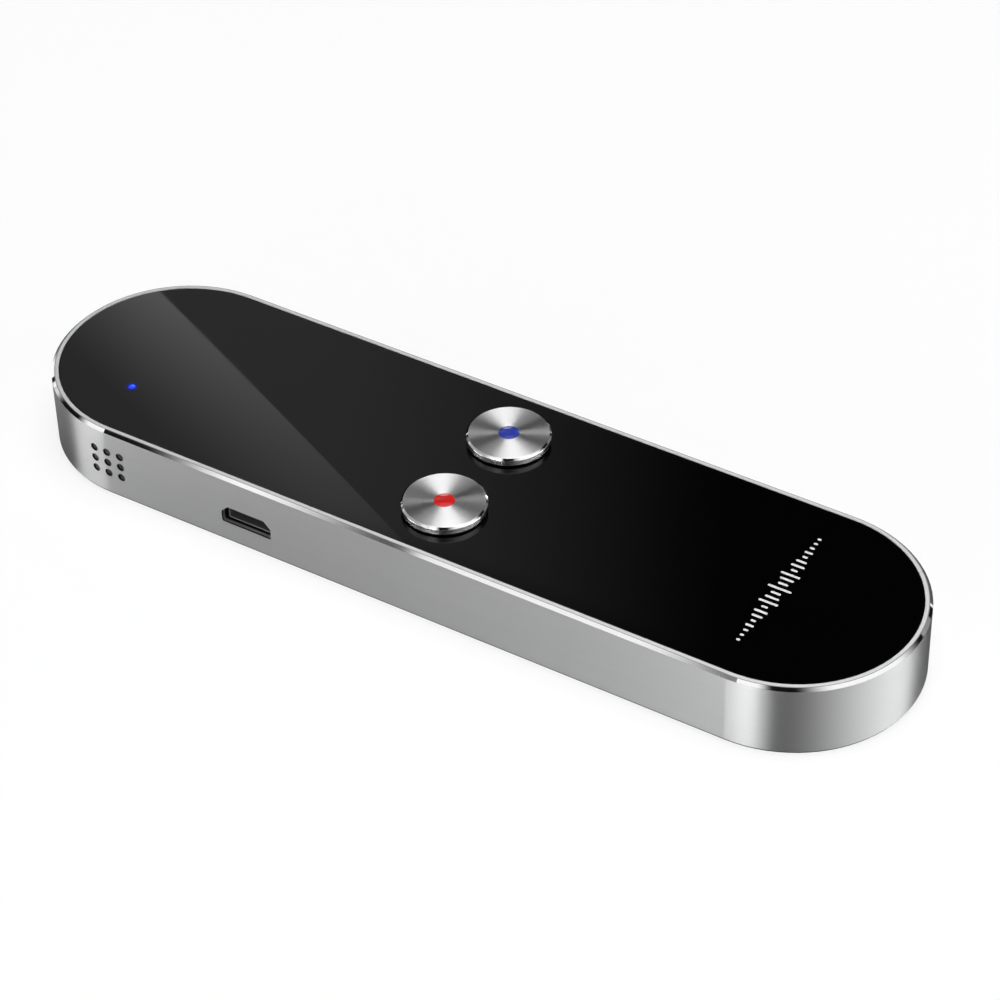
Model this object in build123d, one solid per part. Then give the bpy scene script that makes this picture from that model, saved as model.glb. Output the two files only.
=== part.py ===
from build123d import *
import math
import os

# Handheld voice translator. Lengths are in millimetres, +Z is up, and the origin is the centre
# of the base. +X runs along the length, away from the sound grille. The grille and the charging
# port are in the long side that faces -Y, and the power switch is in the side that faces +Y.

# ---------------------------------------------------------------- housing
body_length = 144.0
body_width = 39.0
body_height = 12.2
edge_chamfer = 0.45
rim_flat = 0.65
base_edge_chamfer = 0.15
wall = 1.5
deck_thickness = 1.2
fit_gap = 0.1
glue_gap = 0.05

# ---------------------------------------------------------------- front panel and its tape
panel_thickness = 1.0
panel_edge_break = 0.08
tape_thickness = 0.15
tape_margin = 0.5

# ---------------------------------------------------------------- back cover
cover_thickness = 1.2
cover_reveal = 0.35
cover_setback = 0.2
cover_edge_break = 0.15
cover_lip_height = 1.5
cover_lip_thickness = 0.8
hook_nose_station = 60.0
hook_tail_setback = 50.0
hook_length = 6.0
hook_height = 0.7
hook_depth = 0.4
hook_drop = 0.5
rib_height = 0.7
rib_thickness = 0.8
rib_pitch = 9.0
rib_nose_station = 30.0
rib_battery_gap = 1.0
rib_field_width = 24.0

# ---------------------------------------------------------------- screws and what holds them
screw_shank = 1.6
pilot_gap = 0.02
lug_radius = 2.2
lug_bite = 0.45
lug_angle = 50.0
cover_screw_head = 3.0
cover_screw_head_height = 0.75
cover_screw_length = 5.0
cover_screw_sink = 0.08
cover_pad_radius = 2.4
cover_pad_height = 0.6
board_land_length = 3.8
board_land_edge = 1.9
board_screw_setback = 3.6
board_screw_nose_station = 31.0
board_screw_port_gap = 12.3
board_screw_tail_setback = 48.0
board_screw_head = 2.8
board_screw_head_height = 0.9
board_screw_reach = 2.0
recess_depth = 0.35
recess_arm = 1.7
recess_width = 0.36

# ---------------------------------------------------------------- push buttons
button_x = 0.7
button_spacing = 17.8
button_travel = 0.25
cap_diameter = 12.6
cap_thickness = 1.15
cap_chamfer = 0.3
cap_lift = 0.35
dot_diameter = 3.1
dot_depth = 0.4
dot_crown = 0.16
neck_diameter = 10.6
neck_wall = 1.1
neck_roof = 1.0
neck_running_gap = 0.08
panel_hole_gap = 0.15
flange_diameter = 12.0
flange_thickness = 0.6
release_gap = 0.05
pusher_diameter = 3.0
plunger_rib = 0.8
plunger_ribs = 4
switch_size = 5.2
switch_height = 0.85
switch_corner = 0.5
switch_cover_size = 4.2
switch_cover_height = 0.12
stem_diameter = 2.0
stem_rise = 0.5
stem_depth = 0.35
stem_collar = 2.9
stem_collar_height = 0.15
stem_gap = 0.06

# ---------------------------------------------------------------- sound grille and speaker
grille_station = 19.65
grille_rise = 0.6
grille_pitch_x = 2.36
grille_pitch_z = 1.95
grille_count = 3
grille_hole = 1.15
sound_window_length = 8.6
sound_window_headroom = 0.42
mesh_thickness = 0.12
gasket_gap = 0.15
gasket_band = 0.7
speaker_shift = 1.85
speaker_length = 12.0
speaker_depth = 3.2
speaker_wall_gap = 0.42
speaker_corner = 2.4
speaker_rim = 0.9
cone_thickness = 0.18
cone_crown = 0.35
cone_slope = 45.0
cone_gap = 0.12
magnet_length = 7.0
magnet_height = 4.2
magnet_depth = 1.3
speaker_box_wall = 0.8
speaker_box_skin = 0.225
speaker_box_depth = 6.2

# ---------------------------------------------------------------- microphone at the end
microphone_diameter = 4.0
microphone_depth = 1.5
microphone_edge_break = 0.3
microphone_hole = 0.9
microphone_pin = 0.45
microphone_pin_length = 1.6
boot_wall = 0.55
boot_floor = 0.6

# ---------------------------------------------------------------- circuit board
board_drop = 2.4
board_thickness = 1.0
board_margin = 0.6
board_nose_gap = 5.1
board_tail_gap = 12.0
notch_gap = 0.5

# ---------------------------------------------------------------- indicator
indicator_station = 16.95
indicator_speaker_gap = 1.9
pipe_diameter = 1.3
pipe_hole_gap = 0.05
pipe_foot_diameter = 2.6
pipe_foot_thickness = 0.6
led_length = 1.6
led_width = 0.8
led_height = 0.6
led_lens = 0.35

# ---------------------------------------------------------------- charging port
port_station = 44.7
port_hole_width = 8.7
port_hole_height = 3.06
port_hole_slant = 1.15
port_corner = 0.3
port_recess = 1.0
shell_width = 7.5
shell_height = 2.5
shell_slant = 0.8
shell_wall = 0.25
shell_depth = 5.2
shell_foot_length = 1.4
shell_foot_width = 1.5
tongue_width = 4.3
tongue_thickness = 0.6
tongue_length = 3.6
tongue_root = 1.0
contact_count = 5
contact_pitch = 0.65
contact_width = 0.3
contact_thickness = 0.1
contact_length = 2.9

# ---------------------------------------------------------------- power switch
power_station = 44.0
power_travel = 2.0
knob_length = 5.0
knob_height = 1.7
knob_gap = 0.1
knob_sink = 0.1
knob_flange_overlap = 0.9
knob_flange_height = 2.5
knob_flange_thickness = 0.6
knob_flange_gap = 0.1
knob_groove = 0.35
knob_groove_depth = 0.15
knob_groove_pitch = 0.8
knob_grooves = 5
dish_length = 11.0
dish_height = 4.2
dish_depth = 0.5
slider_width = 1.8
slider_height = 1.1
slider_engagement = 0.3
slider_gap = 0.05
power_body_length = 8.6
power_body_depth = 3.6
power_body_height = 2.6
power_body_gap = 0.8
power_pocket_depth = 2.0

# ---------------------------------------------------------------- battery
battery_tail_setback = 18.0
battery_length = 50.0
battery_side_gap = 1.0
battery_headroom = 0.65
battery_edge_flat = 0.5
battery_tape_thickness = 0.2
battery_tape_margin = 3.0
guard_length = 2.4
guard_width = 16.0
guard_thickness = 0.8
guard_gap = 0.2
tab_spacing = 10.6
tab_width = 2.0
tab_thickness = 0.1
tray_gap = 0.3
tray_wall = 1.0
tray_guard_gap = 0.3
tray_corner = 6.0
lead_width = 1.2
lead_thickness = 0.4
lead_spacing = 4.0
lead_run = 2.6
lead_bend = 1.0

# ---------------------------------------------------------------- chips on the board
processor_size = 7.0
processor_height = 0.9
processor_station = 52.0
processor_y = 3.0
memory_length = 6.0
memory_width = 5.0
memory_height = 0.8
memory_station = 41.5
memory_y = 5.0
shield_length = 14.0
shield_width = 12.0
shield_height = 1.7
shield_setback = 28.0
shield_wall = 0.25
crystal_length = 3.2
crystal_width = 2.5
crystal_height = 0.7
crystal_station = 52.0
crystal_y = -3.8
coil_size = 4.0
coil_height = 1.8
coil_corner = 0.8
coil_setback = 56.0
charger_size = 4.0
charger_height = 0.9
charger_station = 35.5
charger_y = -7.0
capacitor_length = 1.6
capacitor_width = 0.8
capacitor_height = 0.8
capacitor_pitch = 2.6
capacitor_row_count = 5

# ---------------------------------------------------------------- antenna
film_length = 8.0
film_width = 16.0
film_thickness = 0.15
film_setback = 10.5
spring_setback = 13.4
spring_width = 1.4
spring_metal = 0.2
spring_length = 1.9

# ---------------------------------------------------------------- levels and places worked out
panel_inset = edge_chamfer + rim_flat
panel_underside = body_height - panel_thickness
deck_top = panel_underside - tape_thickness
deck_underside = deck_top - deck_thickness
board_top = deck_underside - board_drop
board_bottom = board_top - board_thickness
nose_x = -body_length / 2
tail_x = body_length / 2
end_centre = (body_length - body_width) / 2
inner_radius = body_width / 2 - wall
cap_underside = body_height + cap_lift
cap_top = cap_underside + cap_thickness
flange_top = deck_underside - release_gap
flange_bottom = flange_top - flange_thickness
stem_top = board_top + switch_height + stem_rise
port_z = board_bottom - shell_height / 2
power_z = board_bottom - power_body_height / 2
microphone_z = (board_top + board_bottom) / 2
grille_x = nose_x + grille_station
speaker_x = grille_x + speaker_shift
speaker_z = (cover_thickness + deck_underside) / 2
grille_z = speaker_z + grille_rise
sound_window_height = 2 * (deck_underside - grille_z - sound_window_headroom)
speaker_height = deck_underside - cover_thickness - 2 * (speaker_box_skin + 2 * fit_gap)
speaker_box_half = speaker_length / 2 + speaker_box_wall + fit_gap
speaker_overrun = max(speaker_box_half - speaker_x - end_centre, 0.0)
speaker_face = math.sqrt(inner_radius**2 - speaker_overrun**2) - speaker_wall_gap
port_x = nose_x + port_station
power_x = nose_x + power_station
power_rest_x = power_x - power_travel / 2
power_body_face = inner_radius - knob_flange_gap - knob_flange_thickness - power_body_gap
knob_flange_length = knob_length + 2 * (power_travel + knob_flange_overlap)
indicator_x = nose_x + indicator_station
indicator_y = indicator_speaker_gap + speaker_box_depth - speaker_face
board_low_x = nose_x + board_nose_gap
board_high_x = tail_x - board_tail_gap
board_screw_y = inner_radius - board_screw_setback
processor_x = nose_x + processor_station
memory_x = nose_x + memory_station
crystal_x = nose_x + crystal_station
charger_x = nose_x + charger_station
coil_x = tail_x - coil_setback
shield_x = tail_x - shield_setback
battery_x = tail_x - battery_tail_setback - battery_length / 2
battery_bottom = cover_thickness + battery_tape_thickness
battery_thickness = board_bottom - battery_headroom - battery_bottom
battery_width = 2 * (board_screw_y - board_screw_head / 2 - battery_side_gap)
guard_board_x = battery_x - battery_length / 2 - guard_gap - guard_length / 2
guard_board_top = battery_bottom + (battery_thickness + guard_thickness) / 2
tray_top = guard_board_top - guard_thickness - tray_guard_gap
tray_half_length = battery_length / 2 + tray_gap
tray_half_width = battery_width / 2 + tray_gap
pilot_radius = screw_shank / 2 + pilot_gap
button_places = {"blue": button_spacing / 2, "red": -button_spacing / 2}


def outline(inset):
    """Stadium outline that runs a set distance inside the housing's outer wall."""
    return SlotOverall(body_length - 2 * inset, body_width - 2 * inset)


def slab(inset, low, high):
    """Solid stadium between two levels."""
    return Pos(0, 0, low) * extrude(outline(inset), high - low)


def block(length, width, low, high, x=0.0, y=0.0):
    """Upright block between two levels, centred at a place in plan."""
    return Pos(x, y, (low + high) / 2) * Box(length, width, high - low)


def post(radius, low, high, x=0.0, y=0.0):
    """Upright round post between two levels."""
    return Pos(x, y, (low + high) / 2) * Cylinder(radius, high - low)


def from_front(sketch, face, depth):
    """Sketch in X and Z, pushed into the body by a depth from a face that looks along -Y."""
    return extrude(Plane.XZ.offset(face) * sketch, amount=-depth)


def from_back(sketch, face, depth):
    """The same from a face that looks along +Y."""
    return extrude(Plane.XZ.offset(-face) * sketch, amount=depth)


def joined(shapes):
    """One shape from several."""
    whole = shapes[0]
    for shape in shapes[1:]:
        whole += shape
    return whole


def lug_places():
    """Four places near the end arcs, where the lugs bite into the wall."""
    reach = inner_radius - lug_radius + lug_bite
    x = end_centre + reach * math.cos(math.radians(lug_angle))
    y = reach * math.sin(math.radians(lug_angle))
    return [(i * x, j * y) for i in (-1, 1) for j in (-1, 1)]


def board_screw_places():
    """Places of the board's screws, in pairs: behind the speaker, past the port and beside the battery."""
    rows = (
        nose_x + board_screw_nose_station,
        port_x + board_screw_port_gap,
        tail_x - board_screw_tail_setback,
    )
    return [(x, j * board_screw_y) for x in rows for j in (-1, 1)]


def grille_places():
    """Centres of the grille's holes in X and Z."""
    steps = [i - (grille_count - 1) / 2 for i in range(grille_count)]
    return [(grille_x + i * grille_pitch_x, grille_z + j * grille_pitch_z) for i in steps for j in steps]


def cross_recess(depth, level, x, y):
    """Cross-shaped driver recess cut upwards from a screw head's underside."""
    arms = Box(recess_arm, recess_width, depth) + Box(recess_width, recess_arm, depth)
    return Pos(x, y, level + depth / 2) * arms


def port_outline(width, height, slant, corner):
    """Charging port outline: flat base, slanted upper corners, all corners eased."""
    half = width / 2
    low = -height / 2
    high = height / 2
    points = [
        (-half, low),
        (half, low),
        (half, high - slant),
        (half - slant, high),
        (slant - half, high),
        (-half, high - slant),
    ]
    face = make_face(Polyline(*points, close=True))
    return fillet(face.vertices(), corner)


# ================================================================ casing
def housing():
    """Aluminium shell: stadium wall, polished chamfer, deck under the panel, lugs and screw lands."""
    shell = slab(0, cover_reveal, body_height)
    shell = chamfer(shell.edges().group_by(Axis.Z)[-1], edge_chamfer)
    shell = chamfer(shell.edges().group_by(Axis.Z)[0], base_edge_chamfer)
    shell -= slab(panel_inset, deck_top, body_height)
    shell -= slab(wall, cover_reveal, deck_underside)
    lug_foot = cover_thickness + cover_pad_height + glue_gap
    for x, y in lug_places():
        shell += post(lug_radius, lug_foot, deck_underside, x, y)
    for x, y in board_screw_places():
        shell += board_land(x, y)
    for x, y in lug_places():
        shell -= post(pilot_radius, lug_foot, cover_screw_sink + cover_screw_length + glue_gap, x, y)
    for x, y in board_screw_places():
        shell -= post(pilot_radius, board_top, board_top + board_screw_reach + glue_gap, x, y)
    shell -= button_holes(neck_diameter / 2 + neck_running_gap, deck_underside, deck_top)
    pipe_hole = pipe_diameter / 2 + pipe_hole_gap
    shell -= post(pipe_hole, deck_underside, deck_top, indicator_x, indicator_y)
    shell -= grille_cut()
    shell -= port_cut()
    shell -= power_slot_cut()
    shell -= joined(hook_boxes(fit_gap))
    return shell - along_x(microphone_hole / 2, nose_x - wall, nose_x + 2 * wall, 0, microphone_z)


def board_land(x, y):
    """Milled land from the wall inwards, under the deck, that a board screw bites into."""
    inner_edge = board_screw_y - board_land_edge
    outer_edge = body_width / 2 - wall / 2
    middle = math.copysign((inner_edge + outer_edge) / 2, y)
    return block(board_land_length, outer_edge - inner_edge, board_top, deck_underside, x, middle)


def button_holes(radius, low, high):
    """The two holes that the buttons pass through."""
    return joined([post(radius, low, high, button_x, y) for y in button_places.values()])


def grille_cut():
    """Round holes through the wall, and the flat window behind them for the mesh."""
    window = Pos(grille_x, grille_z) * Rectangle(sound_window_length, sound_window_height)
    cut = from_front(window, inner_radius, inner_radius - speaker_face + speaker_rim)
    for x, z in grille_places():
        hole = Pos(x, z) * Circle(grille_hole / 2)
        cut += from_front(hole, body_width / 2, 2 * wall)
    return cut


def port_cut():
    """Opening in the wall for the charging port."""
    shape = port_outline(port_hole_width, port_hole_height, port_hole_slant, port_corner)
    return from_front(Pos(port_x, port_z) * shape, body_width / 2, wall)


def power_slot_cut():
    """Shallow dish in the wall with a slot for the power knob."""
    half = body_width / 2
    place = Pos(power_x, power_z)
    dish = from_back(place * SlotOverall(dish_length, dish_height), half, dish_depth)
    slot_length = knob_length + power_travel + 2 * knob_gap
    slot = place * SlotOverall(slot_length, knob_height + 2 * knob_gap)
    return dish + from_back(slot, half, wall)


def hook_boxes(clearance):
    """Four wedges along the long sides, where the cover's hooks snap into the wall."""
    height = hook_height + 2 * clearance
    level = cover_thickness + cover_lip_height - hook_drop - hook_height / 2
    depth = hook_depth + clearance
    root = inner_radius - fit_gap
    hooks = []
    for x in (nose_x + hook_nose_station, tail_x - hook_tail_setback):
        for side in (-1, 1):
            profile = Polyline(
                (side * root, level - height / 2),
                (side * (root + depth), level),
                (side * (root + depth), level + height / 4),
                (side * root, level + height / 2),
                close=True,
            )
            length = hook_length + 2 * clearance
            wedge = extrude(Plane.YZ * make_face(profile), length / 2, both=True)
            hooks.append(Pos(x, 0, 0) * wedge)
    return hooks


def front_panel():
    """Black panel set in the rim, with holes for the buttons and the indicator."""
    panel = slab(panel_inset + glue_gap, panel_underside, body_height)
    panel = chamfer(panel.edges().group_by(Axis.Z)[-1], panel_edge_break)
    panel -= button_holes(neck_diameter / 2 + panel_hole_gap, panel_underside, body_height)
    pipe_hole = pipe_diameter / 2 + pipe_hole_gap
    return panel - post(pipe_hole, panel_underside, body_height, indicator_x, indicator_y)


def panel_tape():
    """Adhesive sheet between the deck and the panel, held back from every edge."""
    sheet = slab(panel_inset + tape_margin, deck_top, panel_underside)
    hole = neck_diameter / 2 + panel_hole_gap + tape_margin
    sheet -= button_holes(hole, deck_top, panel_underside)
    pipe_hole = pipe_diameter / 2 + tape_margin
    return sheet - post(pipe_hole, deck_top, panel_underside, indicator_x, indicator_y)


def back_cover():
    """Moulded cover: a thin edge under the wall, a notched lip, hooks, ribs and a battery tray."""
    base = slab(cover_setback, 0, cover_reveal)
    base = chamfer(base.edges().group_by(Axis.Z)[0], cover_edge_break)
    cover = base + slab(wall + fit_gap, cover_reveal, cover_thickness)
    lip_top = cover_thickness + cover_lip_height
    lip = slab(wall + fit_gap, cover_thickness, lip_top)
    lip -= slab(wall + fit_gap + cover_lip_thickness, cover_thickness, lip_top)
    for x, y in lug_places():
        lip -= post(lug_radius + fit_gap, cover_thickness, lip_top, x, y)
    cover += lip - lip_notches()
    cover += joined(hook_boxes(0))
    for x, y in lug_places():
        pad_top = cover_thickness + cover_pad_height
        pad = post(cover_pad_radius, cover_thickness, pad_top, x, y)
        cover += pad & slab(wall + fit_gap, cover_thickness, pad_top)
    cover += cover_ribs()
    cover += battery_tray()
    for x, y in lug_places():
        cover -= screw_sink(x, y)
    return cover


def lip_notches():
    """Gaps in the cover's lip where the speaker box, the port and the power switch pass it."""
    passing = [
        (speaker_x, -1, speaker_box_half),
        (port_x, -1, shell_width / 2 + shell_foot_width),
        (power_x, 1, (knob_flange_length + power_travel) / 2),
    ]
    lip_top = cover_thickness + cover_lip_height
    notches = []
    for x, side, half in passing:
        length = 2 * (half + notch_gap)
        notches.append(block(length, body_width / 2, cover_thickness, lip_top, x, side * body_width / 2))
    return joined(notches)


def cover_ribs():
    """Stiffening ribs across and along the cover, as far as the battery's tray."""
    top = cover_thickness + rib_height
    start = nose_x + rib_nose_station
    stop = battery_x - tray_half_length - tray_wall - rib_battery_gap
    rows = int((stop - start) // rib_pitch) + 1
    ribs = []
    for i in range(rows):
        ribs.append(block(rib_thickness, rib_field_width, cover_thickness, top, start + i * rib_pitch))
    length = (rows - 1) * rib_pitch
    middle = start + length / 2
    for y in (-rib_field_width / 2, 0, rib_field_width / 2):
        ribs.append(block(length + rib_thickness, rib_thickness, cover_thickness, top, middle, y))
    return joined(ribs)


def battery_tray():
    """Four corner walls that locate the battery on the cover."""
    outer_length = 2 * (tray_half_length + tray_wall)
    outer_width = 2 * (tray_half_width + tray_wall)
    ring = block(outer_length, outer_width, cover_thickness, tray_top)
    ring -= block(2 * tray_half_length, 2 * tray_half_width, cover_thickness, tray_top)
    ring -= block(2 * (tray_half_length - tray_corner), outer_width, cover_thickness, tray_top)
    ring -= block(outer_length, 2 * (tray_half_width - tray_corner), cover_thickness, tray_top)
    return Pos(battery_x, 0, 0) * ring


def screw_sink(x, y):
    """Countersunk hole through the cover and its pad."""
    top = cover_thickness + cover_pad_height
    hole = post(screw_shank / 2 + fit_gap, 0, top, x, y)
    taper = (cover_screw_head - screw_shank) / 2 / cover_screw_head_height
    depth = cover_screw_sink + cover_screw_head_height
    narrow = screw_shank / 2 + glue_gap
    return hole + Pos(x, y, depth / 2) * Cone(narrow + taper * depth, narrow, depth)


def cover_screws():
    """Countersunk screws, heads down, from the cover into the lugs."""
    screws = []
    head_top = cover_screw_sink + cover_screw_head_height
    for x, y in lug_places():
        head = Pos(x, y, cover_screw_sink + cover_screw_head_height / 2)
        screw = head * Cone(cover_screw_head / 2, screw_shank / 2, cover_screw_head_height)
        screw += post(screw_shank / 2, head_top, cover_screw_sink + cover_screw_length, x, y)
        screws.append(screw - cross_recess(recess_depth, cover_screw_sink, x, y))
    return Compound(screws)


def board_screws():
    """Pan-head screws from below the board into the lands."""
    screws = []
    low = board_bottom - board_screw_head_height
    for x, y in board_screw_places():
        head = post(board_screw_head / 2, low, board_bottom, x, y)
        screws.append(head + post(screw_shank / 2, board_bottom, board_top + board_screw_reach, x, y))
    return Compound(screws)


# ================================================================ push buttons
def button_cap(y):
    """Spun cap: a flat disc with a bright chamfer and a pocket for the coloured dot."""
    cap = post(cap_diameter / 2, cap_underside, cap_top, button_x, y)
    cap = chamfer(cap.edges().group_by(Axis.Z)[-1], cap_chamfer)
    return cap - post(dot_diameter / 2, cap_top - dot_depth, cap_top, button_x, y)


def button_dot(y):
    """Domed inlay that fills the pocket of the cap and stands a little proud."""
    base = post(dot_diameter / 2, cap_top - dot_depth, cap_top, button_x, y)
    reach = dot_diameter / 2
    ball_radius = (reach * reach + dot_crown * dot_crown) / (2 * dot_crown)
    ball = Pos(button_x, y, cap_top + dot_crown - ball_radius) * Sphere(ball_radius)
    crown = post(reach, cap_top, cap_top + dot_crown, button_x, y)
    return base + (crown & ball)


def button_plunger(y):
    """Moulded plunger: hollow neck, retaining flange, ribs and a pusher for the key switch."""
    neck = neck_diameter / 2
    plunger = post(neck, flange_bottom, cap_underside, button_x, y)
    plunger += post(flange_diameter / 2, flange_bottom, flange_top, button_x, y)
    plunger -= post(neck - neck_wall, flange_bottom, cap_underside - neck_roof, button_x, y)
    for i in range(plunger_ribs):
        spoke = Pos(neck / 2, 0, 0) * Box(neck, plunger_rib, cap_underside - flange_bottom)
        place = Pos(button_x, y, (cap_underside + flange_bottom) / 2)
        plunger += place * Rot(0, 0, i * 360 / plunger_ribs) * spoke & post(
            neck - neck_wall / 2, flange_bottom, cap_underside, button_x, y
        )
    return plunger + post(pusher_diameter / 2, stem_top, cap_underside, button_x, y)


def switch_body(y):
    """Key switch on the board: moulded base with cut corners and a pressed metal cover."""
    base = block(switch_size, switch_size, board_top, board_top + switch_height, button_x, y)
    base = chamfer(base.edges().filter_by(Axis.Z), switch_corner)
    top = board_top + switch_height
    base -= block(switch_cover_size, switch_cover_size, top - switch_cover_height, top, button_x, y)
    plate = block(switch_cover_size, switch_cover_size, top - switch_cover_height, top, button_x, y)
    plate = chamfer(plate.edges().filter_by(Axis.Z), switch_corner)
    body = base + plate
    room = stem_depth + button_travel + stem_gap
    body -= post(stem_diameter / 2 + stem_gap, top - room, top, button_x, y)
    floor = top - room
    collar_room = stem_collar_height + button_travel + stem_gap
    return body - post(stem_collar / 2 + stem_gap, floor, floor + collar_room, button_x, y)


def switch_stem(y):
    """Stem of the key switch with the collar that keeps it in."""
    low = board_top + switch_height - stem_depth
    stem = post(stem_diameter / 2, low, stem_top, button_x, y)
    return stem + post(stem_collar / 2, low, low + stem_collar_height, button_x, y)


# ================================================================ sound
def grille_mesh():
    """Fine metal mesh against the wall, behind the holes."""
    sheet = Pos(grille_x, grille_z) * Rectangle(
        sound_window_length - 2 * fit_gap, sound_window_height - 2 * fit_gap
    )
    return from_front(sheet, inner_radius, mesh_thickness)


def grille_gasket():
    """Foam frame between the mesh and the speaker."""
    length = sound_window_length - 2 * gasket_gap
    height = sound_window_height - 2 * gasket_gap
    frame = Rectangle(length, height) - Rectangle(length - 2 * gasket_band, height - 2 * gasket_band)
    face = inner_radius - mesh_thickness
    return from_front(Pos(grille_x, grille_z) * frame, face, face - speaker_face)


def speaker_shape(inset):
    """Rounded oblong of the speaker, drawn in X and Z."""
    return Pos(speaker_x, speaker_z) * RectangleRounded(
        speaker_length - 2 * inset, speaker_height - 2 * inset, speaker_corner - inset
    )


def speaker_basket():
    """Moulded frame of the speaker: a rim round the cone and a floor that holds the magnet."""
    basket = from_front(speaker_shape(0), speaker_face, speaker_depth)
    basket -= from_front(speaker_shape(speaker_rim), speaker_face, speaker_depth / 2)
    magnet_face = speaker_face - speaker_depth + magnet_depth
    return basket - from_front(magnet_outline(), magnet_face, magnet_depth)


def magnet_outline():
    """Oblong of the magnet, drawn in X and Z."""
    return Pos(speaker_x, speaker_z) * Rectangle(magnet_length, magnet_height)


def speaker_magnet():
    """Block magnet in the speaker's floor."""
    return from_front(magnet_outline(), speaker_face - speaker_depth + magnet_depth, magnet_depth)


def speaker_diaphragm():
    """Thin cone with a raised middle, stretched across the rim."""
    face = speaker_face - cone_crown - cone_gap
    sheet = from_front(speaker_shape(speaker_rim), face, cone_thickness)
    dome = Pos(speaker_x, speaker_z) * SlotOverall(magnet_length, magnet_height)
    return sheet + extrude(Plane.XZ.offset(face) * dome, amount=cone_crown, taper=cone_slope)


def speaker_box():
    """Open-fronted box behind the speaker that holds it and its air."""
    height = deck_underside - cover_thickness - 2 * fit_gap
    place = Pos(speaker_x, speaker_z)
    shell = from_front(place * Rectangle(2 * speaker_box_half, height), speaker_face, speaker_box_depth)
    seat = place * Rectangle(speaker_length + 2 * fit_gap, speaker_height + 2 * fit_gap)
    shell -= from_front(seat, speaker_face, speaker_depth)
    air = place * Rectangle(speaker_length - 2 * speaker_rim, speaker_height - 2 * speaker_rim)
    return shell - from_front(air, speaker_face, speaker_box_depth - speaker_box_wall)


def along_x(radius, low, high, y, z):
    """Round bar along X between two stations."""
    return Pos((low + high) / 2, y, z) * Cylinder(radius, high - low, rotation=(0, 90, 0))


def microphone_boot():
    """Rubber boot that seals the microphone against the end wall."""
    front = nose_x + wall
    radius = microphone_diameter / 2 + boot_wall
    back = front + boot_floor + microphone_depth
    boot = along_x(radius, front, back, 0, microphone_z)
    boot &= slab(wall, 0, body_height)
    boot -= along_x(microphone_diameter / 2, front + boot_floor, back, 0, microphone_z)
    return boot - along_x(microphone_hole / 2, front, back, 0, microphone_z)


def microphone():
    """Capsule with two pins that straddle the edge of the board."""
    front = nose_x + wall + boot_floor
    back = front + microphone_depth
    capsule = along_x(microphone_diameter / 2, front, back, 0, microphone_z)
    capsule = chamfer(capsule.edges().group_by(Axis.X)[0], microphone_edge_break)
    for side in (-1, 1):
        z = microphone_z + side * (board_thickness + microphone_pin) / 2
        tip = board_low_x + microphone_pin_length
        pin = Pos((back + tip) / 2, 0, z) * Box(tip - back, microphone_pin, microphone_pin)
        capsule += pin
    return capsule


# ================================================================ circuit board
def main_board():
    """Board that follows the wall, with notches for the lugs and the speaker box."""
    board = slab(wall + board_margin, board_bottom, board_top)
    length = board_high_x - board_low_x
    board &= block(length, body_width, board_bottom, board_top, (board_low_x + board_high_x) / 2)
    for x, y in lug_places():
        board -= post(lug_radius + notch_gap, board_bottom, board_top, x, y)
    for x, y in board_screw_places():
        board -= post(screw_shank / 2 + fit_gap, board_bottom, board_top, x, y)
    notch_length = 2 * (speaker_box_half + notch_gap)
    inner_edge = speaker_face - speaker_box_depth - notch_gap
    depth = body_width / 2 - inner_edge
    return board - block(
        notch_length, depth, board_bottom, board_top, speaker_x, -inner_edge - depth / 2
    )


def chip(length, width, height, x, y, corner=0.0):
    """Flat package on top of the board."""
    body = block(length, width, board_top, board_top + height, x, y)
    if corner > 0:
        body = chamfer(body.edges().filter_by(Axis.Z), corner)
    return body


def radio_shield():
    """Pressed metal can over the radio, open underneath."""
    can = chip(shield_length, shield_width, shield_height, shield_x, 0)
    top = can.edges().group_by(Axis.Z)[-1]
    can = fillet(top, shield_wall)
    inner_length = shield_length - 2 * shield_wall
    inner_width = shield_width - 2 * shield_wall
    ceiling = board_top + shield_height - shield_wall
    return can - block(inner_length, inner_width, board_top, ceiling, shield_x)


def board_capacitors():
    """Two rows of small capacitors, beyond the processor and before the crystal."""
    far_row = processor_y + (processor_size + capacitor_pitch) / 2
    near_row = crystal_y - (crystal_width + capacitor_pitch) / 2
    parts = []
    for i in range(capacitor_row_count):
        x = processor_x + (i - (capacitor_row_count - 1) / 2) * capacitor_pitch
        for y in (near_row, far_row):
            parts.append(chip(capacitor_width, capacitor_length, capacitor_height, x, y))
    return Compound(parts)


def indicator_led():
    """Small lamp on the board with a round lens."""
    lamp = chip(led_length, led_width, led_height, indicator_x, indicator_y)
    top = board_top + led_height
    lens = post(led_lens, top, top + led_lens, indicator_x, indicator_y)
    return lamp + lens


def light_pipe():
    """Clear rod from the lamp to the face of the panel, with a foot glued under the deck."""
    low = deck_underside - pipe_foot_thickness
    pipe = post(pipe_diameter / 2, low, body_height, indicator_x, indicator_y)
    return pipe + post(pipe_foot_diameter / 2, low, deck_underside, indicator_x, indicator_y)


# ================================================================ charging port
def usb_shell():
    """Folded metal shell of the port with two feet on the board."""
    face = body_width / 2 - port_recess
    place = Pos(port_x, port_z)
    outer = port_outline(shell_width, shell_height, shell_slant, port_corner)
    shell = from_front(place * outer, face, shell_depth)
    inner = port_outline(
        shell_width - 2 * shell_wall,
        shell_height - 2 * shell_wall,
        shell_slant - shell_wall / 2,
        port_corner / 2,
    )
    shell -= from_front(place * inner, face, shell_depth - tongue_root)
    for side in (-1, 1):
        x = port_x + side * (shell_width / 2 - shell_slant - shell_wall + shell_foot_width / 2)
        y = -(face - shell_depth + shell_foot_length)
        foot = block(shell_foot_width, shell_foot_length, board_bottom - shell_wall, board_bottom, x, y)
        shell += foot
    return shell


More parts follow.
